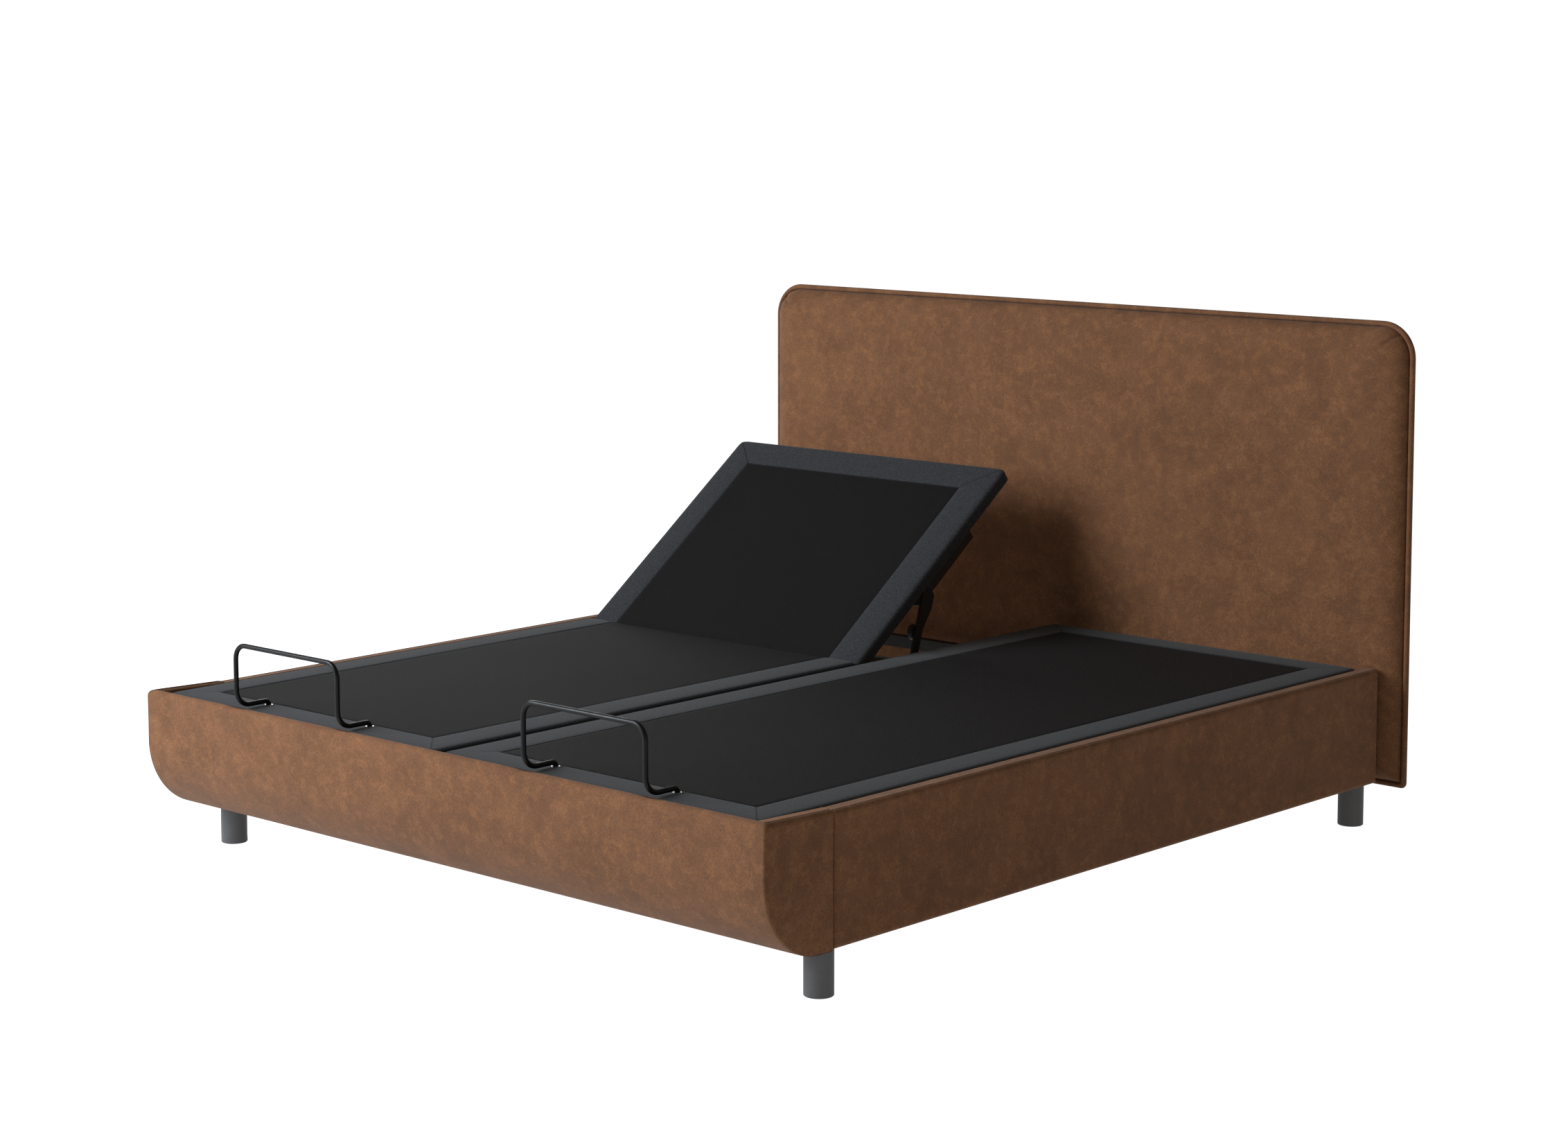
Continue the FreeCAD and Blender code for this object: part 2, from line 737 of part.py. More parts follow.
def make_back_frame(sign, side):
    """Straps, hinge leaves, lift tracks and side plates under a back board."""
    frames = []
    hinge = "along_back_hinge"
    strap_z = ("strap_low", "strap_top")
    for edge in ("inner", "outer"):
        name = f"back_frame_{edge}_{side}"
        strap_x = from_edge(sign, edge, "track_in", "leaf_out")
        leaf_x = from_edge(sign, edge, "leaf_in", "leaf_out")
        tab_x = from_edge(sign, edge, "side_plate_in", "track_in")
        plate_x = from_edge(sign, edge, "side_plate_in", "side_plate_out")
        plate_y = (f"{hinge} + side_plate_from", f"{hinge} + side_plate_to")
        track_y = (f"{hinge} + back_track_from", f"{hinge} + back_track_to")
        solids = [
            lift_track(name + "_track", sign, edge, track_y),
            hinge_leaf(name + "_leaf", leaf_x, hinge, hinge, f"{hinge} + back_leaf"),
            box(name + "_strap", strap_x, (f"{hinge} + eye_clear", f"{hinge} + back_strap_to"), strap_z),
            box(name + "_tab", tab_x, (f"{hinge} + tab_from", f"{hinge} + tab_to"), strap_z),
            box(name + "_strip", plate_x, plate_y, ("axis_z - side_plate_drop", "strap_top")),
        ]
        frames.append(fuse(name, solids))
    item = turned(group(f"back_frame_{side}", frames), hinge, "axis_z", rest_angle(sign))
    part(item, f"back_frame_{side}")


def make_thigh_frame(sign, side):
    """Straps, hinge leaves at both ends and lift tracks under a thigh board."""
    frames = []
    hinge = "along_thigh_hinge"
    for edge in ("inner", "outer"):
        name = f"thigh_frame_{edge}_{side}"
        leaf_x = from_edge(sign, edge, "leaf_in", "leaf_out")
        strap_x = from_edge(sign, edge, "track_in", "leaf_out")
        strap_y = ("along_knee + eye_clear", f"{hinge} - eye_clear")
        track_y = (f"{hinge} - thigh_track_to", f"{hinge} - thigh_track_from")
        solids = [
            lift_track(name + "_track", sign, edge, track_y),
            hinge_leaf(name + "_leaf", leaf_x, f"{hinge} - thigh_leaf", hinge, hinge),
            hinge_leaf(name + "_knee", leaf_x, "along_knee", "along_knee", "along_knee + thigh_leaf"),
            box(name + "_strap", strap_x, strap_y, ("strap_low", "strap_top")),
        ]
        frames.append(fuse(name, solids))
    part(group(f"thigh_frame_{side}", frames), f"thigh_frame_{side}")


def make_calf_frame(sign, side):
    """Two side frames, each with a knee leaf and a glide shoe that slides on the base rail."""
    frames = []
    strap_z = ("strap_low", "strap_top")
    for edge in ("inner", "outer"):
        name = f"calf_frame_{edge}_{side}"
        leaf_x = from_edge(sign, edge, "ear_in", "ear_out")
        pin_x = from_edge(sign, edge, "pin_in", "ear_out")
        tab_x = from_edge(sign, edge, "frame_rail_in", "ear_out")
        shoe_x = from_edge(sign, edge, "frame_rail_in", "(frame_rail_in + frame_rail_wide)")
        leaf_y = ("along_knee - calf_leaf", "along_knee")
        shoe_z = ("frame_top + shoe_lift", "strap_top")
        solids = [
            box(name + "_plate", leaf_x, leaf_y, ("axis_z - leaf_drop", "strap_top")),
            rod(name + "_eye", leaf_x, "along_knee", "axis_z", "eye_radius"),
            rod(name + "_pin", pin_x, "along_knee", "axis_z", "hinge_pin"),
            box(name + "_strap", leaf_x, ("along_shoe_from", "along_knee - eye_clear"), strap_z),
            box(name + "_tab", tab_x, ("along_calf_tab_from", "along_calf_tab_to"), strap_z),
            box(name + "_shoe", shoe_x, ("along_shoe_from", "along_shoe_to"), shoe_z),
        ]
        frames.append(fuse(name, solids))
    part(group(f"calf_frame_{side}", frames), f"calf_frame_{side}")


# --- Torque tubes with lift arms, rollers and wheels ----------------------------------------------------------


def lift_arm(name, x_span, pivot_y, way, reach, brace_at):
    """A flat arm with round ends, deepened on its lower side where the cross brace meets it."""
    tip_y = f"({pivot_y} + {way} * {reach})"
    y_span = (pivot_y, tip_y) if way > 0 else (tip_y, pivot_y)
    brace_y = f"{pivot_y} + {way} * ({brace_at}"
    heel_outline = [
        (f"{brace_y} - heel_lead)", "axis_z - arm_half"),
        (f"{brace_y} - heel_half)", "axis_z - heel_deep"),
        (f"{brace_y} + heel_half)", "axis_z - heel_deep"),
        (f"{brace_y} + heel_trail)", "axis_z - arm_half"),
        (f"{brace_y})", "axis_z"),
    ]
    return [
        rod(name + "_pivot_end", x_span, pivot_y, "axis_z", "arm_half"),
        rod(name + "_roller_end", x_span, tip_y, "axis_z", "arm_half"),
        box(name + "_shank", x_span, y_span, ("axis_z - arm_half", "axis_z + arm_half")),
        prism(name + "_heel", heel_outline, x_span),
    ]


def ring(name, x_span, y_at, radius):
    """A roller or wheel bored for its pin."""
    disc = rod(name + "_disc", x_span, y_at, "axis_z", radius)
    bore = rod(name + "_bore", x_span, y_at, "axis_z", BORE)
    return cut(name, disc, [bore])


def lever_bar(name, sign, pivot_y, lean):
    """The lever that a push block bears on: a bar with a round tip, hanging from the torque tube."""
    lever_x = (f"({sign} * {DECK_MIDDLE} - lever_half)", f"({sign} * {DECK_MIDDLE} + lever_half)")
    tip_y = f"({pivot_y} + lever * sin({lean} * 1deg))"
    tip_z = f"(axis_z - lever * cos({lean} * 1deg))"
    tip = rod(name + "_lever_tip", lever_x, tip_y, tip_z, "lever_tip")
    bar_y = (f"{pivot_y} - lever_tip", f"{pivot_y} + lever_tip")
    bar = box(name + "_lever_bar", lever_x, bar_y, ("axis_z - lever", "axis_z"))
    return [tip, turned(group(name + "_lever", [bar]), pivot_y, "axis_z", lean)]


def make_lift(title, sign, side, pivot, way, reach, brace_at, lever_lean, turn):
    """A torque tube with an arm at each end, a brace between the arms and the drive lever in the middle."""
    name = f"{title}_lift_{side}"
    pivot_y = along(pivot)
    tip_y = f"({pivot_y} + {way} * {reach})"
    brace_y = f"({pivot_y} + {way} * {brace_at})"
    brace_span = (f"{brace_y} - brace_half", f"{brace_y} + brace_half")
    across = full_width(sign, "arm_in")
    tube = rod(name + "_tube", across, pivot_y, "axis_z", "tube_radius")
    brace = box(name + "_brace", across, brace_span, ("axis_z - heel_deep", "axis_z - tube_radius"))
    solids = [tube, brace]
    rollers = []
    wheels = []
    for edge in ("inner", "outer"):
        piece = f"{name}_{edge}"
        arm_x = from_edge(sign, edge, "arm_in", "(arm_in + arm_thick)")
        journal_x = from_edge(sign, edge, "(frame_rail_in + frame_rail_wide)", "arm_in")
        stub_x = from_edge(sign, edge, "arm_in", "(roller_out + stub_over)")
        solids += lift_arm(piece, arm_x, pivot_y, way, reach, brace_at)
        solids.append(rod(piece + "_journal", journal_x, pivot_y, "axis_z", "journal"))
        solids.append(rod(piece + "_stub", stub_x, tip_y, "axis_z", "pin_radius"))
        roller_x = from_edge(sign, edge, "roller_in", "roller_out")
        rollers.append(ring(piece + "_roller", roller_x, tip_y, "roller_radius"))
        if title == "back":
            wheel_y = f"({pivot_y} + wheel_at)"
            wheel_x = from_edge(sign, edge, "wheel_in", "wheel_out")
            axle_x = from_edge(sign, edge, "arm_in", "(wheel_out + stub_over)")
            solids.append(rod(piece + "_axle", axle_x, wheel_y, "axis_z", "pin_radius"))
            wheels.append(ring(piece + "_wheel", wheel_x, wheel_y, "wheel_radius"))
    solids += lever_bar(name, sign, pivot_y, lever_lean)
    angle = f"({turn} * {rest_angle(sign)})"
    part(turned(fuse(name, solids), pivot_y, "axis_z", angle), name)
    pair = group(f"{title}_rollers_{side}", rollers)
    part(turned(pair, pivot_y, "axis_z", angle), f"{title}_rollers_{side}")
    if wheels:
        pair = group(f"arm_wheels_{side}", wheels)
        part(turned(pair, pivot_y, "axis_z", angle), f"arm_wheels_{side}")


# --- Drive ----------------------------------------------------------------------------------------------------

def make_drive(sign, side):
    """A hollow casing hung from both torque tubes, with a push block for each tube's lever."""
    name = f"drive_casing_{side}"
    middle = f"{sign} * {DECK_MIDDLE}"

    def across(half):
        return (f"({middle} - {half})", f"({middle} + {half})")

    shell_y = ("along_case_foot", "along_case_head")
    motor_y = ("along_motor_foot", "along_motor_head")
    motor_z = ("case_low - motor_drop", "case_low + motor_rise")
    room_y = ("along_case_foot + case_wall", "along_case_head - case_wall")
    room_z = ("case_low + case_wall", "case_top - case_wall")
    solids = [
        box(name + "_shell", across("case_half"), shell_y, ("case_low", "case_top")),
        box(name + "_motor", across("(case_half + motor_over)"), motor_y, motor_z),
    ]
    tools = [box(name + "_room", across("(case_half - case_wall)"), room_y, room_z)]
    cheek_z = ("case_top - case_wall", "axis_z + cheek_over")
    cheek_spans = (
        (f"({middle} - cheek_out)", f"({middle} - cheek_in)"),
        (f"({middle} + cheek_in)", f"({middle} + cheek_out)"),
    )
    for title, pivot in (("back", BACK_PIVOT), ("leg", LEG_PIVOT)):
        y_at = along(pivot)
        cheek_y = (f"{y_at} - cheek_half", f"{y_at} + cheek_half")
        for index, cheek_x in enumerate(cheek_spans):
            solids.append(box(f"{name}_{title}_cheek{index}", cheek_x, cheek_y, cheek_z))
        slot_y = (f"{y_at} - lever_slot_reach", f"{y_at} + lever_slot_reach")
        slot_z = ("case_top - case_wall - 2", "case_top + 2")
        saddle = rod(f"{name}_{title}_saddle", across("saddle_half"), y_at, "axis_z", "tube_radius + saddle_play")
        tools.append(saddle)
        tools.append(box(f"{name}_{title}_slot", across("lever_slot_half"), slot_y, slot_z))
    part(cut(name, fuse(name + "_body", solids), tools), name)
    block_z = ("block_low", "block_top")
    back_sweep = "lever * sin(back_limit * 1deg)"
    back_slide = f"({back_sweep} / back_limit * {rest_angle(sign)} * 2)"
    back_face = f"({along(BACK_PIVOT)} - {back_sweep} + {back_slide} - lever_tip - push_gap)"
    push = box(f"back_push_block_{side}", across("block_half"), (f"{back_face} - block_long", back_face), block_z)
    part(push, f"back_push_block_{side}")
    leg_face = f"({along(LEG_PIVOT)} + lever * sin(thigh_limit * 1deg) + lever_tip + push_gap)"
    push = box(f"leg_push_block_{side}", across("block_half"), (leg_face, f"{leg_face} + block_long"), block_z)
    part(push, f"leg_push_block_{side}")


def make_control_boxes():
    cases = []
    y_span = ("along_control_foot", "along_control_head")
    for side, sign in SIDES.items():
        middle = f"{sign} * {DECK_MIDDLE}"
        x_span = (f"({middle} - control_half)", f"({middle} + control_half)")
        cases.append(box(f"control_case_{side}", x_span, y_span, ("control_low", "control_top")))
    part(group("control_boxes", cases), "control_boxes")


# --- Mattress retainer bars -----------------------------------------------------------------------------------


def make_retainer_bar(sign, side):
    """A bent wire loop: its tails drop through the calf pad and board, and it stands up over the foot edge."""
    wire = number("wire_radius")
    middle = number(f"{sign} * {DECK_MIDDLE}")
    half = number("bar_half")
    plane = number(along("bar_plane"))
    tail = number(along("bar_tail"))
    run_z = number("bar_run_z")
    top_z = number("bar_top_z")
    low_z = number("board_low") - 4
    bends = [number(name) for name in ("bar_tail_bend", "bar_low_bend", "bar_top_bend")]
    half_route = [
        Vector(middle - half, tail, low_z),
        Vector(middle - half, tail, run_z),
        Vector(middle - half, plane, run_z),
        Vector(middle - half, plane, top_z),
    ]
    mirrored = [Vector(2 * middle - point.x, point.y, point.z) for point in reversed(half_route)]
    route = half_route + mirrored
    radii = bends + bends[::-1]
    edges = []
    start = route[0]
    for corner, after, radius in zip(route[1:], route[2:], radii):
        inward = (corner - start).normalize()
        outward = Vector(after - corner).normalize()
        entry = corner - inward * radius
        leave = corner + outward * radius
        centre = entry + outward * radius
        middle_point = centre + (corner - centre).normalize() * radius
        edges.append(Part.makeLine(start, entry))
        edges.append(Part.Arc(entry, middle_point, leave).toShape())
        start = leave
    edges.append(Part.makeLine(start, route[-1]))
    path = Part.Wire(edges)
    section = Part.Wire(Part.makeCircle(wire, route[0], Vector(0, 0, 1)))
    fixed_shape(f"retainer_bar_{side}", path.makePipeShell([section], True, True))


# --- Build ----------------------------------------------------------------------------------------------------

make_foot_board()
make_headboard()
make_legs()
make_brackets()
make_centre_beam()
make_control_boxes()
inner_rails = []
for side_name, side_sign in SIDES.items():
    make_side_rail(side_name, side_sign)
    inner_rails.append(make_base_rail(side_sign, "inner", f"base_rail_inner_{side_name}"))
    part(make_base_rail(side_sign, "outer", f"base_rail_outer_{side_name}"), f"base_rail_outer_{side_name}")
    make_cross_bars(side_sign, side_name)
    for section_name in SECTIONS:
        make_section(section_name, side_sign, side_name)
    make_back_frame(side_sign, side_name)
    make_thigh_frame(side_sign, side_name)
    make_calf_frame(side_sign, side_name)
    make_lift("back", side_sign, side_name, BACK_PIVOT, 1, "back_arm", "brace_at", "(0 - back_limit)", 2)
    make_lift("leg", side_sign, side_name, LEG_PIVOT, -1, "leg_arm", "leg_brace_at", "thigh_limit", 0)
    make_drive(side_sign, side_name)
    make_retainer_bar(side_sign, side_name)
part(group("base_rails_inner", inner_rails), "base_rails_inner")

document.recompute()
for item in document.Objects:
    if "Invalid" in item.State or "Error" in item.State:
        raise RuntimeError(f"{item.Label} failed: {item.State}")
os.makedirs("parts", exist_ok=True)
for item in SUBPARTS:
    if item.Shape.isNull() or not item.Shape.isValid() or not item.Shape.Solids:
        raise RuntimeError(f"{item.Label} has no valid solid")
    item.Shape.exportStep(f"parts/{item.Label}.step")
print(len(SUBPARTS), "sub-parts written")
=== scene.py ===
"""The upholstery, finishes, light and camera of an adjustable bed base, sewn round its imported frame.

Lengths are metres. X runs across the bed, Y from the foot to the headboard and Z up from the floor.
"""

import json
import math

import bpy
import numpy as np
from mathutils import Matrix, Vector


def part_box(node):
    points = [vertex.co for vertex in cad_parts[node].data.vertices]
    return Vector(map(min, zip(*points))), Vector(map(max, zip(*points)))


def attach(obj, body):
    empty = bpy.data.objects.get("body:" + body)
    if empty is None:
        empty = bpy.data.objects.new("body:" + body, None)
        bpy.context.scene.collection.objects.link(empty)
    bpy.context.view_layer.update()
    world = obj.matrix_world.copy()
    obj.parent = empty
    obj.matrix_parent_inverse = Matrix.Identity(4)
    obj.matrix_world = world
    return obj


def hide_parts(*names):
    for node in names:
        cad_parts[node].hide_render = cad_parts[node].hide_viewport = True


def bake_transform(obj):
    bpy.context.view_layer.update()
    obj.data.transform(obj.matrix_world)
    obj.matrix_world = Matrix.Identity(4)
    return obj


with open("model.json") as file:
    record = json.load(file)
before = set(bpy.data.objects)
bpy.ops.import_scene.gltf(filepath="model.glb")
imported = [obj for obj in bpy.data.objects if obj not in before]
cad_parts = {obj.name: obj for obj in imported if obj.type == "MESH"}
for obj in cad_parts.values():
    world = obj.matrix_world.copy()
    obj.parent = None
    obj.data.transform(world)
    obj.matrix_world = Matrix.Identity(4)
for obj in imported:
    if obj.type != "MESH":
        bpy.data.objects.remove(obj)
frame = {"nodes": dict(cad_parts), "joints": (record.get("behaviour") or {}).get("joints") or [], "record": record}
nodes = frame["nodes"]
joints = {joint["name"]: joint for joint in frame["joints"]}
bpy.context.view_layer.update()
SIDES = {"left": -1, "right": 1}
MM = 0.001

# --- Places that the frame gives ------------------------------------------------------------------------------

foot_low, foot_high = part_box("foot_board")
rail_low, rail_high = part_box("side_rail_right")
panel_low, panel_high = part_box("headboard_panel")
rim_low, rim_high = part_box("headboard_rim")
pad_low, pad_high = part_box("headboard_pad")
seat_low, seat_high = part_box("seat_pad_right")
FOOT = foot_low.y
DECK_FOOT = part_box("calf_pad_right")[0].y
DECK_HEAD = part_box("back_pad_right")[1].y
DECK_TOP = seat_high.z
DECK_UNDER = seat_low.z
DECK_INNER = seat_low.x
DECK_WIDE = seat_high.x - seat_low.x
DECK_LONG = DECK_HEAD - DECK_FOOT
KNEE = joints["calf_tilt_right"]["pos_m"][1]
THIGH = joints["thigh_tilt_right"]["pos_m"][1]
BACK = joints["back_tilt_right"]["pos_m"][1]
AXIS = joints["back_tilt_right"]["pos_m"][2]
LEFT_RISE = math.radians(-joints["back_tilt_left"]["range_deg"][0])
WIRE_RADIUS = 5.5 * MM
TOUCHING = 0.02 * MM


# --- Sewing: grids of points turned into pieces ---------------------------------------------------------------


class Sewn:
    """The points and faces of one upholstered piece while it is being made."""

    def __init__(self):
        self.points = []
        self.faces = []
        self.looks = []

    def sheet(self, places, look=0, ring=False, flip=False):
        """Adds a grid of places, (rows, columns, 3). A ring's last column joins its first."""
        rows, columns = places.shape[:2]
        base = len(self.points)
        self.points.extend(map(tuple, places.reshape(-1, 3)))
        looks = np.broadcast_to(look, (rows, columns))
        for row in range(rows - 1):
            for column in range(columns if ring else columns - 1):
                beside = (column + 1) % columns
                corners = [
                    base + row * columns + column,
                    base + (row + 1) * columns + column,
                    base + (row + 1) * columns + beside,
                    base + row * columns + beside,
                ]
                self.faces.append(corners[::-1] if flip else corners)
                self.looks.append(int(looks[row, column]))

    def cap(self, places, look=0, flip=False):
        """Closes a flat outline with one face."""
        base = len(self.points)
        self.points.extend(map(tuple, places))
        order = list(range(base, base + len(places)))
        self.faces.append(order[::-1] if flip else order)
        self.looks.append(look)

    def piece(self, name, materials, joined=True):
        """Makes the object with smooth shading, and with its touching edges joined."""
        mesh = bpy.data.meshes.new(name)
        mesh.from_pydata(self.points, [], self.faces)
        for material in materials:
            mesh.materials.append(material)
        mesh.polygons.foreach_set("material_index", self.looks)
        mesh.polygons.foreach_set("use_smooth", [True] * len(mesh.polygons))
        item = bpy.data.objects.new(name, mesh)
        bpy.context.scene.collection.objects.link(item)
        if joined:
            join_edges(item)
        return item


def apply_modifiers(item):
    """Puts an object's modifiers into its mesh."""
    depsgraph = bpy.context.evaluated_depsgraph_get()
    made = bpy.data.meshes.new_from_object(item.evaluated_get(depsgraph))
    item.modifiers.clear()
    item.data = made


def join_edges(item):
    """Makes one point of those that touch."""
    join = item.modifiers.new("Joined edges", "WELD")
    join.merge_threshold = TOUCHING
    apply_modifiers(item)


def places_of(mesh):
    """A mesh's points as an array."""
    places = np.empty(len(mesh.vertices) * 3)
    mesh.vertices.foreach_get("co", places)
    return places.reshape(-1, 3)


CLOTH_FRAMES = 20
CLOTH_PRESSURE = 4


def swell_as_cloth(item, held, furthest):
    """Swells a cover over its filling as cloth, up to a furthest move, with its held points fast."""
    start = places_of(item.data)
    group = item.vertex_groups.new(name="Held")
    group.add([int(index) for index in np.nonzero(held)[0]], 1.0, "REPLACE")
    cloth = item.modifiers.new("Cloth", "CLOTH")
    cloth.settings.quality = 4
    cloth.settings.mass = 0.4
    cloth.settings.tension_stiffness = 40
    cloth.settings.compression_stiffness = 40
    cloth.settings.shear_stiffness = 20
    cloth.settings.bending_stiffness = 4
    cloth.settings.use_pressure = True
    cloth.settings.uniform_pressure_force = CLOTH_PRESSURE
    cloth.settings.vertex_group_mass = "Held"
    cloth.settings.effector_weights.gravity = 0
    cloth.collision_settings.use_collision = False
    scene = bpy.context.scene
    for step in range(1, CLOTH_FRAMES + 1):
        scene.frame_set(step)
    moved = item.evaluated_get(bpy.context.evaluated_depsgraph_get()).to_mesh()
    shift = places_of(moved) - start
    shift *= furthest / max(np.linalg.norm(shift, axis=1).max(), furthest)
    item.modifiers.remove(cloth)
    item.vertex_groups.remove(group)
    scene.frame_set(1)
    item.data.vertices.foreach_set("co", (start + shift).ravel())
    item.data.update()


def lines_between(low, high, edge, step, seams=()):
    """Grid lines from low to high: close over the rounded edges, even between them, and one at each seam."""
    over_edge = [edge * (1 - math.cos(turn)) for turn in np.linspace(0, math.pi / 2, 7)]
    even = np.linspace(low + edge, high - edge, max(3, round((high - low - 2 * edge) / step)))
    lines = [low + d for d in over_edge] + [high - d for d in over_edge] + list(even)
    apart = [line for line in lines if all(abs(line - seam) > 0.8 * MM for seam in seams)]
    return np.unique(np.round(sorted(apart + list(seams)), 6))


def rounded_plan(u_lines, v_lines, corners):
    """A grid whose outline has rounded corners, with each place's distance from the outline.

    corners gives the radius at (end of u, end of v), where an end is 0 or 1.
    """
    u, v = np.meshgrid(u_lines, v_lines, indexing="ij")
    ends = ((u_lines[0], u_lines[-1]), (v_lines[0], v_lines[-1]))
    inset = np.minimum(np.minimum(u - ends[0][0], ends[0][1] - u), np.minimum(v - ends[1][0], ends[1][1] - v))
    for (u_end, v_end), radius in corners.items():
        u_way, v_way = 2 * u_end - 1, 2 * v_end - 1
        u_centre = ends[0][u_end] - u_way * radius
        v_centre = ends[1][v_end] - v_way * radius
        u_off, v_off = u - u_centre, v - v_centre
        corner = (u_off * u_way > 0) & (v_off * v_way > 0)
        shrink = np.maximum(abs(u_off), abs(v_off)) / np.maximum(np.hypot(u_off, v_off), 1e-9)
        u = np.where(corner, u_centre + u_off * shrink, u)
        v = np.where(corner, v_centre + v_off * shrink, v)
    return u, v, inset


def round_over(inset, edge):
    """How far a surface has dropped at a distance from an edge that is rounded to a radius."""
    inside = np.clip(edge - inset, 0, edge)
    return edge - np.sqrt(np.maximum(edge * edge - inside * inside, 0))


def outline_of(grid):
    """The outermost places of a grid, in order round it."""
    return np.concatenate([grid[:-1, 0], grid[-1, :-1], grid[:0:-1, -1], grid[0, :0:-1]])


def step_in(loop, distance):
    """A closed outline in plan moved inwards."""
    along = np.roll(loop, -1, axis=0) - np.roll(loop, 1, axis=0)
    inward = np.stack([-along[:, 1], along[:, 0]], 1)
    inward /= np.maximum(np.linalg.norm(inward, axis=1, keepdims=True), 1e-9)
    return loop + inward * distance


def soft_waves(u, v, size, seed):
    """Slow waves between about -1 and 1, as cloth over foam has."""
    chance = np.random.default_rng(seed)
    total = np.zeros_like(u)
    for turn in chance.uniform(0, math.tau, 7):
        slope = chance.uniform(0.6, 1.6) * math.tau / size
        along = u * math.cos(turn) + v * math.sin(turn)
        total = total + np.sin(along * slope + chance.uniform(0, math.tau))
    return total / 4


def slab(sewn, plan, edge, depth, place, height):
    """Adds an upholstered slab: a face with rounded edges, its sides and a plain back.

    place turns (u, v, height over the back) into X, Y, Z. height is added to the face.
    """
    u, v, inset = plan
    sewn.sheet(place(u, v, depth - round_over(inset, edge) + height))
    loop = outline_of(np.stack([u, v], 2))
    sides = np.linspace(depth - edge, 0, 5)
    rings = np.stack([place(loop[:, 0], loop[:, 1], np.full(len(loop), h)) for h in sides])
    sewn.sheet(rings, ring=True, flip=True)
    sewn.cap(rings[-1])


# --- Surface effects shared by several finishes ---------------------------------------------------------------


def new_group(title, inputs, outputs):
    """An empty effect group with named inputs, (name, kind, value), and outputs, (name, kind)."""
    group = bpy.data.node_groups.new(title, "ShaderNodeTree")
    for name, kind, value in inputs:
        socket = group.interface.new_socket(name, in_out="INPUT", socket_type=kind)
        if value is not None:
            socket.default_value = value
    for name, kind in outputs:
        group.interface.new_socket(name, in_out="OUTPUT", socket_type=kind)
    return group, group.nodes.new("NodeGroupInput"), group.nodes.new("NodeGroupOutput")


def add(tree, kind, settings=None, **inputs):
    """Adds a node. A socket given as an input is linked, and a value is set. Underscores stand for spaces."""
    node = tree.nodes.new(kind)
    for name, value in (settings or {}).items():
        setattr(node, name, value)
    for name, value in inputs.items():
        socket = node.inputs[int(name[1:])] if name[1:].isdigit() else node.inputs[name.replace("_", " ")]
        if isinstance(value, bpy.types.NodeSocket):
            tree.links.new(value, socket)
        else:
            socket.default_value = value
    return node


def maths(tree, operation, first, second=0.0, third=0.0):
    return add(tree, "ShaderNodeMath", {"operation": operation}, i0=first, i1=second, i2=third).outputs[0]


def between(tree, value, low, high, out_low=0.0, out_high=1.0):
    """Moves a value smoothly from one range to another."""
    node = add(tree, "ShaderNodeMapRange", {"interpolation_type": "SMOOTHSTEP"}, Value=value, From_Min=low,
               From_Max=high, To_Min=out_low, To_Max=out_high)
    return node.outputs["Result"]


def mixed(tree, share, first, second):
    """Mixes two colours."""
    return add(tree, "ShaderNodeMix", {"data_type": "RGBA"}, i0=share, i6=first, i7=second).outputs[2]


def colour(red, green, blue):
    """A colour from 0 to 255 screen values."""
    screen = [value / 255 for value in (red, green, blue)]
    linear = [c / 12.92 if c <= 10 / 255 else ((c + 0.055) / 1.055) ** 2.4 for c in screen]
    return (*linear, 1.0)


def make_cloud_group():
    """Large and small clouds of tone, as brushed hide and wood have."""
    group, given, result = new_group(
        "Cloudy tone",
        [("Place", "NodeSocketVector", None), ("Cloud Size", "NodeSocketFloat", 0.1),
         ("Mottle Size", "NodeSocketFloat", 0.025), ("Mottle Share", "NodeSocketFloat", 0.4)],
        [("Tone", "NodeSocketFloat"), ("Mottle", "NodeSocketFloat")],
    )
    cloud_scale = maths(group, "DIVIDE", 1.0, given.outputs["Cloud Size"])
    mottle_scale = maths(group, "DIVIDE", 1.0, given.outputs["Mottle Size"])
    cloud = add(group, "ShaderNodeTexNoise", Vector=given.outputs["Place"], Scale=cloud_scale, Detail=3.0,
                Roughness=0.55, Distortion=0.6)
    mottle = add(group, "ShaderNodeTexNoise", Vector=given.outputs["Place"], Scale=mottle_scale, Detail=4.0,
                 Roughness=0.6, Distortion=0.3)
    wide = between(group, cloud.outputs["Fac"], 0.3, 0.7)
    small = between(group, mottle.outputs["Fac"], 0.3, 0.7)
    share = maths(group, "SUBTRACT", 1.0, given.outputs["Mottle Share"])
    wide_part = maths(group, "MULTIPLY", wide, share)
    tone = maths(group, "MULTIPLY_ADD", small, given.outputs["Mottle Share"], wide_part)
    group.links.new(tone, result.inputs["Tone"])
    group.links.new(small, result.inputs["Mottle"])
    return group


def make_grain_group():
    """A fine even grain, as nap, felt and moulded or powder-coated skins have."""
    group, given, result = new_group(
        "Fine grain",
        [("Place", "NodeSocketVector", None), ("Grain Size", "NodeSocketFloat", 0.001)],
        [("Grain", "NodeSocketFloat"), ("Speckle", "NodeSocketFloat")],
    )
    scale = maths(group, "DIVIDE", 1.0, given.outputs["Grain Size"])
    grain = add(group, "ShaderNodeTexNoise", Vector=given.outputs["Place"], Scale=scale, Detail=2.0,
                Roughness=0.6)
    group.links.new(grain.outputs["Fac"], result.inputs["Grain"])
    group.links.new(between(group, grain.outputs["Fac"], 0.35, 0.65), result.inputs["Speckle"])
    return group


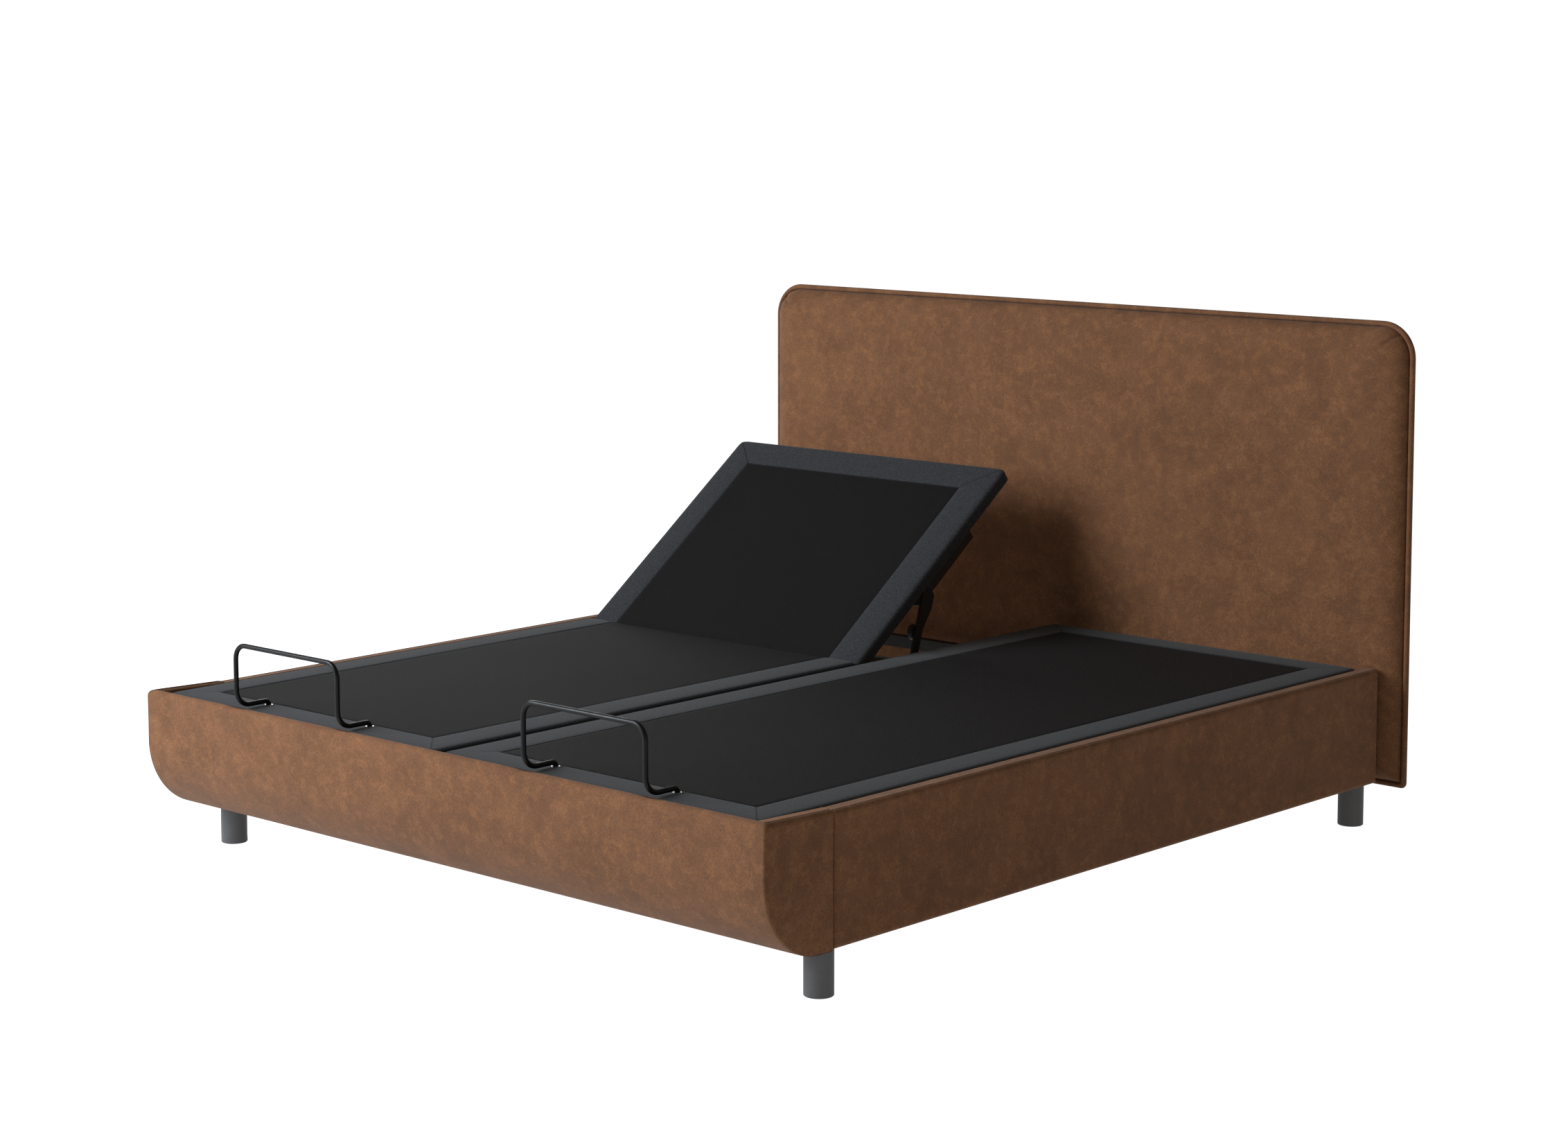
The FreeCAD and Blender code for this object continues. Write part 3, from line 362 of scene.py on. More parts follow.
def make_twill_group():
    """Diagonal ribs of a twill weave, crossed by finer threads."""
    group, given, result = new_group(
        "Twill ribs",
        [("Place", "NodeSocketVector", None), ("Rib Pitch", "NodeSocketFloat", 0.004)],
        [("Ribs", "NodeSocketFloat"), ("Threads", "NodeSocketFloat")],
    )
    parts = add(group, "ShaderNodeSeparateXYZ", Vector=given.outputs["Place"])
    across, along = parts.outputs[0], parts.outputs[1]
    turns = maths(group, "DIVIDE", math.tau, given.outputs["Rib Pitch"])
    diagonal = maths(group, "MULTIPLY_ADD", across, 0.82, maths(group, "MULTIPLY", along, 0.57))
    ribs = maths(group, "SINE", maths(group, "MULTIPLY", diagonal, turns))
    counter = maths(group, "SUBTRACT", maths(group, "MULTIPLY", across, 0.57),
                    maths(group, "MULTIPLY", along, 0.82))
    threads = maths(group, "SINE", maths(group, "MULTIPLY", counter, maths(group, "MULTIPLY", turns, 2.4)))
    group.links.new(maths(group, "MULTIPLY_ADD", ribs, 0.5, 0.5), result.inputs["Ribs"])
    group.links.new(maths(group, "MULTIPLY_ADD", threads, 0.5, 0.5), result.inputs["Threads"])
    return group


CLOUDS = make_cloud_group()
GRAIN = make_grain_group()
TWILL = make_twill_group()


def effect(tree, group, **inputs):
    return add(tree, "ShaderNodeGroup", {"node_tree": group}, **inputs).outputs


# --- Finishes -------------------------------------------------------------------------------------------------


def new_finish(title, **shader_values):
    """A material with its shader's own values set. Returns the material, its tree and the shader."""
    material = bpy.data.materials.new(title)
    material.use_nodes = True
    tree = material.node_tree
    shader = tree.nodes["Principled BSDF"]
    for name, value in shader_values.items():
        shader.inputs[name.replace("_", " ")].default_value = value
    return material, tree, shader


def object_place(tree):
    return tree.nodes.new("ShaderNodeTexCoord").outputs["Object"]


def sewn_place(tree):
    """Where a point lies on the flat cloth: across from the inner edge, and along from the foot."""
    node = tree.nodes.new("ShaderNodeAttribute")
    node.attribute_name = "cloth_place"
    return node.outputs["Vector"]


def bumped(tree, shader, height, depth, strength=1.0):
    bump = add(tree, "ShaderNodeBump", Height=height, Distance=depth, Strength=strength)
    tree.links.new(bump.outputs["Normal"], shader.inputs["Normal"])


def suede_finish():
    """Brown suede-look upholstery with tan and dark clouds and a short nap."""
    material, tree, shader = new_finish("Brown suede", Specular_IOR_Level=0.2, Sheen_Weight=0.14,
                                        Sheen_Roughness=0.5, Sheen_Tint=colour(225, 210, 200))
    place = object_place(tree)
    clouds = effect(tree, CLOUDS, Place=place, Cloud_Size=0.1, Mottle_Size=0.024, Mottle_Share=0.5)
    nap = effect(tree, GRAIN, Place=place, Grain_Size=0.0011)
    base = mixed(tree, clouds["Tone"], colour(109, 73, 48), colour(135, 92, 62))
    warm = maths(tree, "MULTIPLY", between(tree, clouds["Mottle"], 0.5, 1.0), 0.2)
    base = mixed(tree, warm, base, colour(156, 110, 76))
    coarse_nap = effect(tree, GRAIN, Place=place, Grain_Size=0.004)
    fine = maths(tree, "MULTIPLY", nap["Speckle"], 0.15)
    speck = maths(tree, "MULTIPLY_ADD", coarse_nap["Speckle"], 0.32, fine)
    base = mixed(tree, speck, base, colour(66, 42, 26))
    tree.links.new(base, shader.inputs["Base Color"])
    tree.links.new(between(tree, clouds["Mottle"], 0.0, 1.0, 0.78, 0.92), shader.inputs["Roughness"])
    height = maths(tree, "MULTIPLY_ADD", nap["Grain"], 0.6, maths(tree, "MULTIPLY", clouds["Mottle"], 0.6))
    bumped(tree, shader, height, 0.0007, 0.5)
    return material


def groove_mask(tree, value, half):
    """1 on a line where the value is 0, fading out over a half width."""
    return between(tree, maths(tree, "ABSOLUTE", value), 0.0, half, 1.0, 0.0)


BORDER = {"inner": 95 * MM, "outer": 86 * MM, "foot": 90 * MM, "head": 86 * MM}


def border_shares(tree, place):
    """How far across the border a place lies each way, 0 at the deck's edge and 1 at the panel."""
    parts = add(tree, "ShaderNodeSeparateXYZ", Vector=place)
    across, along = parts.outputs[0], parts.outputs[1]
    from_outer = maths(tree, "DIVIDE", maths(tree, "SUBTRACT", DECK_WIDE, across), BORDER["outer"])
    across_share = maths(tree, "MINIMUM", maths(tree, "DIVIDE", across, BORDER["inner"]), from_outer)
    from_head = maths(tree, "DIVIDE", maths(tree, "SUBTRACT", DECK_LONG, along), BORDER["head"])
    along_share = maths(tree, "MINIMUM", maths(tree, "DIVIDE", along, BORDER["foot"]), from_head)
    return across_share, along_share, across, along


def felt_finish():
    """Dark grey felt of the deck borders, with a mitre seam at each corner."""
    material, tree, shader = new_finish("Border felt", Specular_IOR_Level=0.08, Sheen_Weight=0.08,
                                        Sheen_Roughness=0.5)
    place = sewn_place(tree)
    across_share, along_share, _, _ = border_shares(tree, place)
    share = maths(tree, "MINIMUM", across_share, along_share)
    from_panel = maths(tree, "MULTIPLY", maths(tree, "SUBTRACT", share, 1.0), BORDER["foot"])
    panel_seam = groove_mask(tree, from_panel, PANEL_SEAM_HALF)
    difference = maths(tree, "MULTIPLY", maths(tree, "SUBTRACT", across_share, along_share), 0.06)
    mitre = groove_mask(tree, difference, MITRE_HALF)
    grain = effect(tree, GRAIN, Place=object_place(tree), Grain_Size=0.0028)
    clouds = effect(tree, CLOUDS, Place=object_place(tree), Cloud_Size=0.3, Mottle_Size=0.02,
                    Mottle_Share=0.5)
    base = mixed(tree, grain["Speckle"], colour(38, 39, 41), colour(62, 63, 66))
    base = mixed(tree, maths(tree, "MULTIPLY", clouds["Tone"], 0.25), base, colour(48, 48, 50))
    seams = maths(tree, "MAXIMUM", mitre, panel_seam)
    base = mixed(tree, maths(tree, "MULTIPLY", seams, 0.8), base, colour(12, 12, 13))
    tree.links.new(base, shader.inputs["Base Color"])
    tree.links.new(between(tree, grain["Grain"], 0.3, 0.7, 0.85, 0.97), shader.inputs["Roughness"])
    height = maths(tree, "SUBTRACT", maths(tree, "MULTIPLY", grain["Grain"], 0.5), seams)
    bumped(tree, shader, height, 0.001, 0.6)
    return material


STITCH_LINES = [KNEE - DECK_FOOT, THIGH - DECK_FOOT, THIGH - DECK_FOOT + 81 * MM]
SLIT_FROM, SLIT_TO = THIGH - DECK_FOOT - 5 * MM, THIGH - DECK_FOOT + 64 * MM
SLIT_HALF = 3 * MM
STITCH_HALF = 1.4 * MM
STITCH_PITCH = 7 * MM
PANEL_SEAM_HALF = 2.6 * MM
MITRE_HALF = 2.4 * MM


def twill_finish():
    """Near-black twill of the deck panels, with stitched lines across it and a slit beside each fold, the slit
    painted near-black as the shade inside the opening.
    """
    material, tree, shader = new_finish("Panel twill", Specular_IOR_Level=0.06, Sheen_Weight=0.015,
                                        Sheen_Roughness=0.4)
    place = sewn_place(tree)
    _, _, across, along = border_shares(tree, place)
    weave = effect(tree, TWILL, Place=place, Rib_Pitch=0.0042)
    grain = effect(tree, GRAIN, Place=place, Grain_Size=0.0018)
    dash = maths(tree, "SINE", maths(tree, "MULTIPLY", across, math.tau / STITCH_PITCH))
    dash = between(tree, dash, -0.2, 0.1)
    stitches = 0.0
    for line in STITCH_LINES:
        mask = groove_mask(tree, maths(tree, "SUBTRACT", along, line), STITCH_HALF)
        stitches = maths(tree, "MAXIMUM", mask, stitches)
    stitches = maths(tree, "MULTIPLY", stitches, maths(tree, "MULTIPLY_ADD", dash, 0.5, 0.5))
    from_inner = maths(tree, "SUBTRACT", across, BORDER["inner"] + 5 * MM)
    from_outer = maths(tree, "SUBTRACT", across, DECK_WIDE - BORDER["outer"] - 5 * MM)
    beside = maths(tree, "MAXIMUM", groove_mask(tree, from_inner, SLIT_HALF),
                   groove_mask(tree, from_outer, SLIT_HALF))
    within = maths(tree, "MULTIPLY", between(tree, along, SLIT_FROM, SLIT_FROM + 4 * MM),
                   between(tree, along, SLIT_TO - 12 * MM, SLIT_TO, 1.0, 0.0))
    slits = maths(tree, "MULTIPLY", beside, within)
    base = mixed(tree, weave["Ribs"], colour(14.8, 14, 13.8), colour(31, 29, 29))
    base = mixed(tree, maths(tree, "MULTIPLY", grain["Speckle"], 0.35), base, colour(35, 33, 33))
    base = mixed(tree, maths(tree, "MULTIPLY", stitches, 0.8), base, colour(8, 8, 8))
    # painted shade: each slit is coloured near-black for the shade inside the opening
    base = mixed(tree, slits, base, colour(2, 2, 2))
    tree.links.new(base, shader.inputs["Base Color"])
    tree.links.new(between(tree, weave["Ribs"], 0.0, 1.0, 0.85, 0.7), shader.inputs["Roughness"])
    height = maths(tree, "MULTIPLY_ADD", weave["Ribs"], 0.5, maths(tree, "MULTIPLY", weave["Threads"], 0.2))
    height = maths(tree, "SUBTRACT", height, maths(tree, "MULTIPLY_ADD", stitches, 1.5, slits))
    bumped(tree, shader, height, 0.0007, 0.6)
    return material


def coated_finish(title, dark, light, rough_low, rough_high, grain_size, depth, specular=0.5):
    """Powder coat or moulded plastic: an even skin with a fine grain and slight clouds of tone."""
    material, tree, shader = new_finish(title, Specular_IOR_Level=specular)
    place = object_place(tree)
    grain = effect(tree, GRAIN, Place=place, Grain_Size=grain_size)
    clouds = effect(tree, CLOUDS, Place=place, Cloud_Size=0.25, Mottle_Size=0.03, Mottle_Share=0.5)
    tree.links.new(mixed(tree, clouds["Tone"], dark, light), shader.inputs["Base Color"])
    roughness = between(tree, clouds["Mottle"], 0.0, 1.0, rough_low, rough_high)
    tree.links.new(roughness, shader.inputs["Roughness"])
    bumped(tree, shader, grain["Grain"], depth, 0.5)
    return material


def plywood_finish():
    """Birch plywood with long grain and thin ply lines on its edges."""
    material, tree, shader = new_finish("Plywood", Specular_IOR_Level=0.3)
    place = object_place(tree)
    stretched = add(tree, "ShaderNodeMapping", {"vector_type": "POINT"}, Vector=place,
                    Scale=(14.0, 1.0, 14.0)).outputs["Vector"]
    grain = effect(tree, CLOUDS, Place=stretched, Cloud_Size=0.6, Mottle_Size=0.12, Mottle_Share=0.5)
    height_place = add(tree, "ShaderNodeSeparateXYZ", Vector=place).outputs[2]
    plies = maths(tree, "SINE", maths(tree, "MULTIPLY", height_place, math.tau / 0.004))
    base = mixed(tree, grain["Tone"], colour(176, 148, 110), colour(204, 178, 138))
    glue_lines = maths(tree, "MULTIPLY", between(tree, plies, 0.2, 0.8), 0.18)
    base = mixed(tree, glue_lines, base, colour(120, 90, 60))
    tree.links.new(base, shader.inputs["Base Color"])
    tree.links.new(between(tree, grain["Mottle"], 0.0, 1.0, 0.5, 0.65), shader.inputs["Roughness"])
    bumped(tree, shader, grain["Mottle"], 0.0003, 0.4)
    return material


def zinc_finish():
    """Bright zinc plate with brushed streaks."""
    material, tree, shader = new_finish("Zinc plate", Metallic=1.0)
    grain = effect(tree, GRAIN, Place=object_place(tree), Grain_Size=0.002)
    tree.links.new(mixed(tree, grain["Speckle"], colour(186, 188, 190), colour(214, 215, 216)),
                   shader.inputs["Base Color"])
    tree.links.new(between(tree, grain["Grain"], 0.3, 0.7, 0.25, 0.42), shader.inputs["Roughness"])
    return material


SUEDE = suede_finish()
FELT = felt_finish()
PANEL_TWILL = twill_finish()
FINISH_OF_SLOT = {
    "plywood": plywood_finish(),
    "frame_steel": coated_finish("Black frame coat", colour(13, 13, 14), colour(19, 19, 20),
                                 0.45, 0.62, grain_size=0.0012, depth=0.0002),
    "grey_powder": coated_finish("Grey leg coat", colour(80, 80, 82), colour(92, 92, 94),
                                 0.4, 0.5, grain_size=0.0009, depth=0.0002),
    "zinc": zinc_finish(),
    "nylon": coated_finish("Black nylon", colour(16, 16, 17), colour(22, 22, 23),
                           0.42, 0.6, grain_size=0.0008, depth=0.0002),
    "drive_plastic": coated_finish("Drive plastic", colour(30, 30, 32), colour(38, 38, 40),
                                   0.5, 0.65, grain_size=0.0007, depth=0.0003),
    "bar_wire": coated_finish("Black wire coat", colour(8, 8, 9), colour(12, 12, 13),
                              0.3, 0.4, grain_size=0.002, depth=0.0001, specular=0.26),
}


def finish_frame():
    """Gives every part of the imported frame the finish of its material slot."""
    slot_of = {row["node"]: row["material_slot"] for row in frame["record"]["subparts"]}
    for name, item in nodes.items():
        finish = FINISH_OF_SLOT.get(slot_of[name])
        if finish:
            for index in range(len(item.data.materials)):
                item.data.materials[index] = finish


# --- Foot board -----------------------------------------------------------------------------------------------

FOOT_WALL = 18 * MM
FOOT_FLOOR = 22 * MM
CURVE_DEEP = 150 * MM
CURVE_HIGH = 168 * MM
SIDE_WALL = foot_high.x - rail_low.x
END_TOP_ROUND = 12 * MM


def foot_curve(count=26):
    """The board's outer line from the front top edge down its curved lower front to its back: Y and Z."""
    top, low = foot_high.z, foot_low.z
    lip = 13 * MM
    line = [(FOOT + lip * (1 - math.sin(turn)), top - lip * (1 - math.cos(turn)))
            for turn in np.linspace(0, math.pi / 2, 7)]
    line += [(FOOT, z) for z in np.linspace(top - lip, low + CURVE_HIGH, 8)[1:]]
    for turn in np.linspace(0, math.pi / 2, count)[1:]:
        line.append((FOOT + CURVE_DEEP * (1 - math.cos(turn)), low + CURVE_HIGH * (1 - math.sin(turn))))
    line += [(y, low) for y in np.linspace(FOOT + CURVE_DEEP, foot_high.y, 6)[1:]]
    return np.array(line)


def foot_bulge(x, z):
    """The front's slow puffing, with a shallow dimple under each leg of the retainer bars."""
    rise = np.clip((z - foot_low.z) / (foot_high.z - foot_low.z), 0, 1)
    bulge = 1.2 * MM * soft_waves(x, z, 0.5, 4) * np.sin(rise * math.pi)
    near_top = np.clip((z - foot_high.z + 34 * MM) / (34 * MM), 0, 1)
    for side in SIDES:
        low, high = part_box(f"retainer_bar_{side}")
        for leg in (low.x, high.x):
            bulge = bulge - 2.2 * MM * np.exp(-(((x - leg) / (26 * MM)) ** 2)) * near_top
    return bulge


def foot_front(sewn):
    """The wrapped front: top edge, face, curved lower front and underside, turned in at each end's seam."""
    curve = foot_curve()
    along = np.gradient(curve, axis=0)
    outward = np.stack([-along[:, 1], along[:, 0]], 1)
    outward /= np.linalg.norm(outward, axis=1, keepdims=True)
    if outward[10, 0] > 0:
        outward = -outward
    half, seam = foot_high.x - 2.2 * MM, 4 * MM
    across = lines_between(-half, half, seam, 14 * MM)
    drop = round_over(np.minimum(across + half, half - across), seam)
    x, y = np.meshgrid(across, curve[:, 0], indexing="ij")
    z = np.broadcast_to(curve[:, 1], x.shape)
    shift = foot_bulge(x, z) * np.clip((half - abs(x)) / 0.05, 0, 1) - drop[:, None]
    y = y + outward[:, 0] * shift
    top_round = round_over(foot_high.z - z, END_TOP_ROUND)
    x = x - np.sign(x) * top_round * np.clip((abs(x) - half + 0.06) / 0.06, 0, 1)
    z = z + outward[:, 1] * shift
    sewn.sheet(np.stack([x, y, z], 2))
    lip_y = FOOT + FOOT_WALL
    inner_line = [(curve[0, 0], foot_high.z), (lip_y - 4 * MM, foot_high.z),
                  (lip_y - 1 * MM, foot_high.z - 1.2 * MM), (lip_y, foot_high.z - 4 * MM)]
    inner_line = np.array(inner_line + foot_lining())
    inner_half = foot_high.x - SIDE_WALL
    spans = np.linspace(-inner_half, inner_half, 60)
    x, y = np.meshgrid(spans, inner_line[:, 0], indexing="ij")
    z = np.broadcast_to(inner_line[:, 1], x.shape)
    sewn.sheet(np.stack([x, y, z], 2), flip=True)


def foot_lining():
    """The inner line of the hollow board from its lip to the back of its floor: Y and Z."""
    deep, high = CURVE_DEEP - FOOT_WALL, CURVE_HIGH - FOOT_FLOOR
    low = foot_low.z + FOOT_FLOOR
    line = [(FOOT + FOOT_WALL, z) for z in np.linspace(foot_high.z - 6 * MM, low + high, 6)]
    for turn in np.linspace(0, math.pi / 2, 14)[1:]:
        line.append((FOOT + CURVE_DEEP - deep * math.cos(turn), low + high * (1 - math.sin(turn))))
    line += [(foot_high.y, low), (foot_high.y, foot_low.z)]
    return line


def foot_end(sewn, sign):
    """One end: a puffed side panel with a seam along the curved front and a rounded top and back."""
    front = foot_curve(40)
    top, low = foot_high.z, foot_low.z
    back_top = rail_high.z + 2 * MM
    back_z = low + (front[:, 1] - low) * (back_top - low) / (top - low)
    back = np.stack([np.full(len(front), foot_high.y), back_z], 1)
    stretches = [np.linspace(0, 0.06, 7), np.linspace(0.06, 0.92, 22), np.linspace(0.92, 1, 8)]
    across = np.unique(np.concatenate(stretches))
    places = front[:, None] + (back - front)[:, None] * across[None, :, None]
    gaps = np.linalg.norm(places[:, :, None] - front[None, None], axis=3).min(2)
    seam = round_over(gaps, 4.5 * MM)
    top_round = round_over(places[:1, :, 1] - places[..., 1], END_TOP_ROUND)
    back_round = round_over(foot_high.y - places[..., 0], 6 * MM)
    puff = 1.4 * MM * soft_waves(places[..., 0], places[..., 1], 0.22, 9)
    x = sign * (foot_high.x - np.minimum(seam + top_round + back_round, 17 * MM) + np.minimum(puff, 0))
    sewn.sheet(np.stack([x, places[..., 0], places[..., 1]], 2), flip=sign > 0)
    ridge = np.stack([x[0], places[0, :, 0], places[0, :, 1]], 1)
    inner_x = sign * (foot_high.x - SIDE_WALL)
    inner = ridge.copy()
    inner[:, 0] = inner_x
    edge_in = inner.copy()
    edge_in[:, 0] += sign * 4 * MM
    down = inner.copy()
    down[:, 2] -= 4 * MM
    lining = np.array(foot_lining()[:-2])
    floor = inner.copy()
    floor[:, 2] = np.minimum(np.interp(floor[:, 1], lining[5:, 0], lining[5:, 1], left=top), down[:, 2])
    sewn.sheet(np.stack([ridge, edge_in, down, floor]), flip=sign > 0)
    tail = np.stack([x[:, -1], places[:, -1, 0], places[:, -1, 1]], 1)
    tail_in = tail.copy()
    tail_in[:, 0] = inner_x
    sewn.sheet(np.stack([tail, tail_in]), flip=sign < 0)


def make_foot_board():
    sewn = Sewn()
    foot_front(sewn)
    for sign in SIDES.values():
        foot_end(sewn, sign)
    board = sewn.piece("foot_board_cover", [SUEDE])
    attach(board, "root")
    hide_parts("foot_board")


# --- Side rails -----------------------------------------------------------------------------------------------


def make_side_rails():
    edge = 11 * MM
    for side, sign in SIDES.items():
        sewn = Sewn()
        gap = 0.8 * MM
        plan = rounded_plan(
            lines_between(rail_low.y + gap, rail_high.y, edge, 16 * MM),
            lines_between(rail_low.z, rail_high.z, edge, 16 * MM),
            {(0, 0): 3 * MM, (0, 1): 6 * MM, (1, 0): 3 * MM, (1, 1): 3 * MM},
        )
        wave = -1.0 * MM * (1 + soft_waves(plan[0], plan[1], 0.45, 20 + sign)) * np.clip(plan[2] / 0.03, 0, 1)

        def place(u, v, height):
            return np.stack([sign * (rail_low.x + height), u, v], -1)

        slab(sewn, plan, edge, rail_high.x - rail_low.x, place, wave)
        rail = sewn.piece(f"side_rail_cover_{side}", [SUEDE])
        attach(rail, "root")
        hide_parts(f"side_rail_{side}")


# --- Headboard ------------------------------------------------------------------------------------------------

HEAD_CORNER = 86 * MM
HEAD_FOOT_CORNER = 13 * MM
SLOPE = 105 * MM
PLEAT_LONG = 150 * MM
PLEAT_DEEP = 5 * MM


def headboard_corners(inset):
    top = HEAD_CORNER - inset
    low = max(HEAD_FOOT_CORNER - inset, 4 * MM)
    return {(0, 0): low, (1, 0): low, (0, 1): top, (1, 1): top}


def headboard_lines(low, high):
    """Grid lines that are close together over the pad's sloping edges."""
    slope = SLOPE * np.linspace(0, 1, 26) ** 1.7
    middle = np.linspace(low + SLOPE, high - SLOPE, round((high - low - 2 * SLOPE) / (20 * MM)))
    return np.unique(np.concatenate([low + slope, middle, high - slope]))


def make_headboard_pad():
    """The thick front pad: its face slopes away over a hand's width, with a pleat at each upper corner."""
    u, v, inset = rounded_plan(headboard_lines(pad_low.x, pad_high.x), headboard_lines(pad_low.z, pad_high.z),
                               headboard_corners(13 * MM))
    deep = pad_high.y - pad_low.y
    share = np.clip(inset / SLOPE, 0, 1)
    height = deep * (1 - (1 - share) ** 2.8) ** (1 / 2.4)
    height = height + 1.5 * MM * soft_waves(u, v, 0.6, 31) * np.clip(inset / 0.2, 0, 1)
    for sign in SIDES.values():
        corner_u, corner_v = sign * pad_high.x, pad_high.z
        down_u, down_v = (corner_u - u) * sign, corner_v - v
        reach = (down_u + down_v) / math.sqrt(2)
        aside = (down_u * 0.86 - down_v * 1.14) / math.sqrt(2)
        fade = np.clip((PLEAT_LONG - reach) / (110 * MM), 0, 1) * np.clip(reach / (20 * MM), 0, 1)
        height = height - PLEAT_DEEP * np.exp(-((aside / (5 * MM)) ** 2)) * fade
        height = height + 3 * MM * np.exp(-(((aside - 16 * MM) / (14 * MM)) ** 2)) * fade
    height = np.minimum(height, deep + 3 * MM)
    sewn = Sewn()
    sewn.sheet(np.stack([u, pad_high.y - height, v], 2))
    pad = sewn.piece("headboard_pad_cover", [SUEDE])
    places = places_of(pad.data)
    swell_as_cloth(pad, places[:, 1] > pad_high.y - 4 * MM, 5 * MM)
    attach(pad, "root")
    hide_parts("headboard_pad")


def headboard_outline(inset, count=16):
    """The headboard's outline set in by a distance, in order round it: X and Z."""
    low_x, high_x = rim_low.x + inset, rim_high.x - inset
    low_z, high_z = rim_low.z + inset, rim_high.z - inset
    radii = headboard_corners(inset)
    stops = [((1, 0), high_x, low_z, -1), ((1, 1), high_x, high_z, 0), ((0, 1), low_x, high_z, 1),
             ((0, 0), low_x, low_z, 2)]
    outline = []
    for (u_end, v_end), x, z, quarter in stops:
        radius = radii[(u_end, v_end)]
        centre_x = x - (2 * u_end - 1) * radius
        centre_z = z - (2 * v_end - 1) * radius
        for turn in np.linspace(0, math.pi / 2, count):
            angle = quarter * math.pi / 2 + turn
            outline.append((centre_x + radius * math.cos(angle), centre_z + radius * math.sin(angle)))
    return np.array(outline)


def banded(sewn, profile, flip=False):
    """Runs a profile, (inset, Y) pairs, round the headboard."""
    rings = []
    for inset, y in profile:
        outline = headboard_outline(inset)
        rings.append(np.stack([outline[:, 0], np.full(len(outline), y), outline[:, 1]], 1))
    sewn.sheet(np.stack(rings), ring=True, flip=flip)
    return rings


def make_headboard_rim():
    """The rounded welt that frames the pad."""
    middle, reach = 6.4 * MM, (rim_high.y - rim_low.y) / 2
    centre = (rim_low.y + rim_high.y) / 2
    profile = [(middle * (1 - math.cos(turn)), centre + reach * math.sin(turn))
               for turn in np.linspace(math.pi / 2, -1.5 * math.pi, 21)]
    sewn = Sewn()
    banded(sewn, profile)
    rim = sewn.piece("headboard_welt", [SUEDE])
    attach(rim, "root")
    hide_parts("headboard_rim")


def make_headboard_panel():
    """The upholstered back board, with its cover turned over the edges and a plain back."""
    front, back = panel_low.y, panel_high.y
    inset = rim_high.x - panel_high.x
    edge = 15 * MM
    profile = [(inset + 2 * MM, front), (inset, front + 2 * MM)]
    profile += [(inset + edge * (1 - math.cos(turn)), back - edge + edge * math.sin(turn))
                for turn in np.linspace(0, math.pi / 2, 8)]
    sewn = Sewn()
    rings = banded(sewn, profile, flip=True)
    sewn.cap(rings[-1])
    sewn.cap(rings[0], flip=True)
    panel = sewn.piece("headboard_back_cover", [SUEDE])
    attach(panel, "root")
    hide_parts("headboard_panel")


# --- Lying surfaces -------------------------------------------------------------------------------------------

DECK_EDGE = 11 * MM
OUTER_FULLNESS = 2.5 * MM
DECK_CORNER = 20 * MM
HEM = 11.5 * MM
SEAM_HALF = 1.3 * MM
FOLDS = {
    # name: (bodies before and after, start and end of the bend from the foot)
    "calf": (("thigh", "calf"), KNEE + 45 * MM, KNEE - 45 * MM),
    "thigh": (("root", "thigh"), THIGH + 28 * MM, THIGH - 42 * MM),
    "back": (("root", "back"), BACK - 70 * MM, BACK + 50 * MM),
}
PADS_UNDER = {"calf": ["calf_pad"], "thigh": ["thigh_pad"], "back": ["seat_pad", "back_pad"]}
CUTS = [DECK_FOOT - 1, (KNEE + THIGH) / 2, THIGH + 36 * MM, DECK_HEAD + 1]
RAISED_FOLD = (BACK - 40 * MM, BACK + 22 * MM)


def raised(places, sign):
    """Bends the left deck's flat cloth up with its back section."""
    if sign > 0:
        return places
    start, end = RAISED_FOLD
    share = np.clip((places[..., 1] - start) / (end - start), 0, 1)
    turn = LEFT_RISE * share * share * (3 - 2 * share)
    y, z = places[..., 1] - BACK, places[..., 2] - AXIS
    bent = places.copy()
    bent[..., 1] = BACK + y * np.cos(turn) - z * np.sin(turn)
    bent[..., 2] = AXIS + y * np.sin(turn) + z * np.cos(turn)
    return bent


def deck_relief(u, v, seed):
    """Puffed borders, a sunk seam round the panel and the panel's slow waves."""
    from_panel_u = np.maximum(BORDER["inner"] - u, u - (DECK_WIDE - BORDER["outer"]))
    from_panel_v = np.maximum(BORDER["foot"] - v, v - (DECK_LONG - BORDER["head"]))
    outside = np.maximum(from_panel_u, from_panel_v)
    across = np.clip(outside / BORDER["outer"], 0, 1)
    puff = 1.6 * MM * np.sin(across * math.pi) ** 0.8
    seam = -1.7 * MM * np.exp(-((outside / SEAM_HALF) ** 2))
    waves = 0.5 * MM * soft_waves(u, v, 0.5, seed) * (outside < 0)
    return puff + seam + waves - 0.4 * MM * (outside < 0), outside < 0


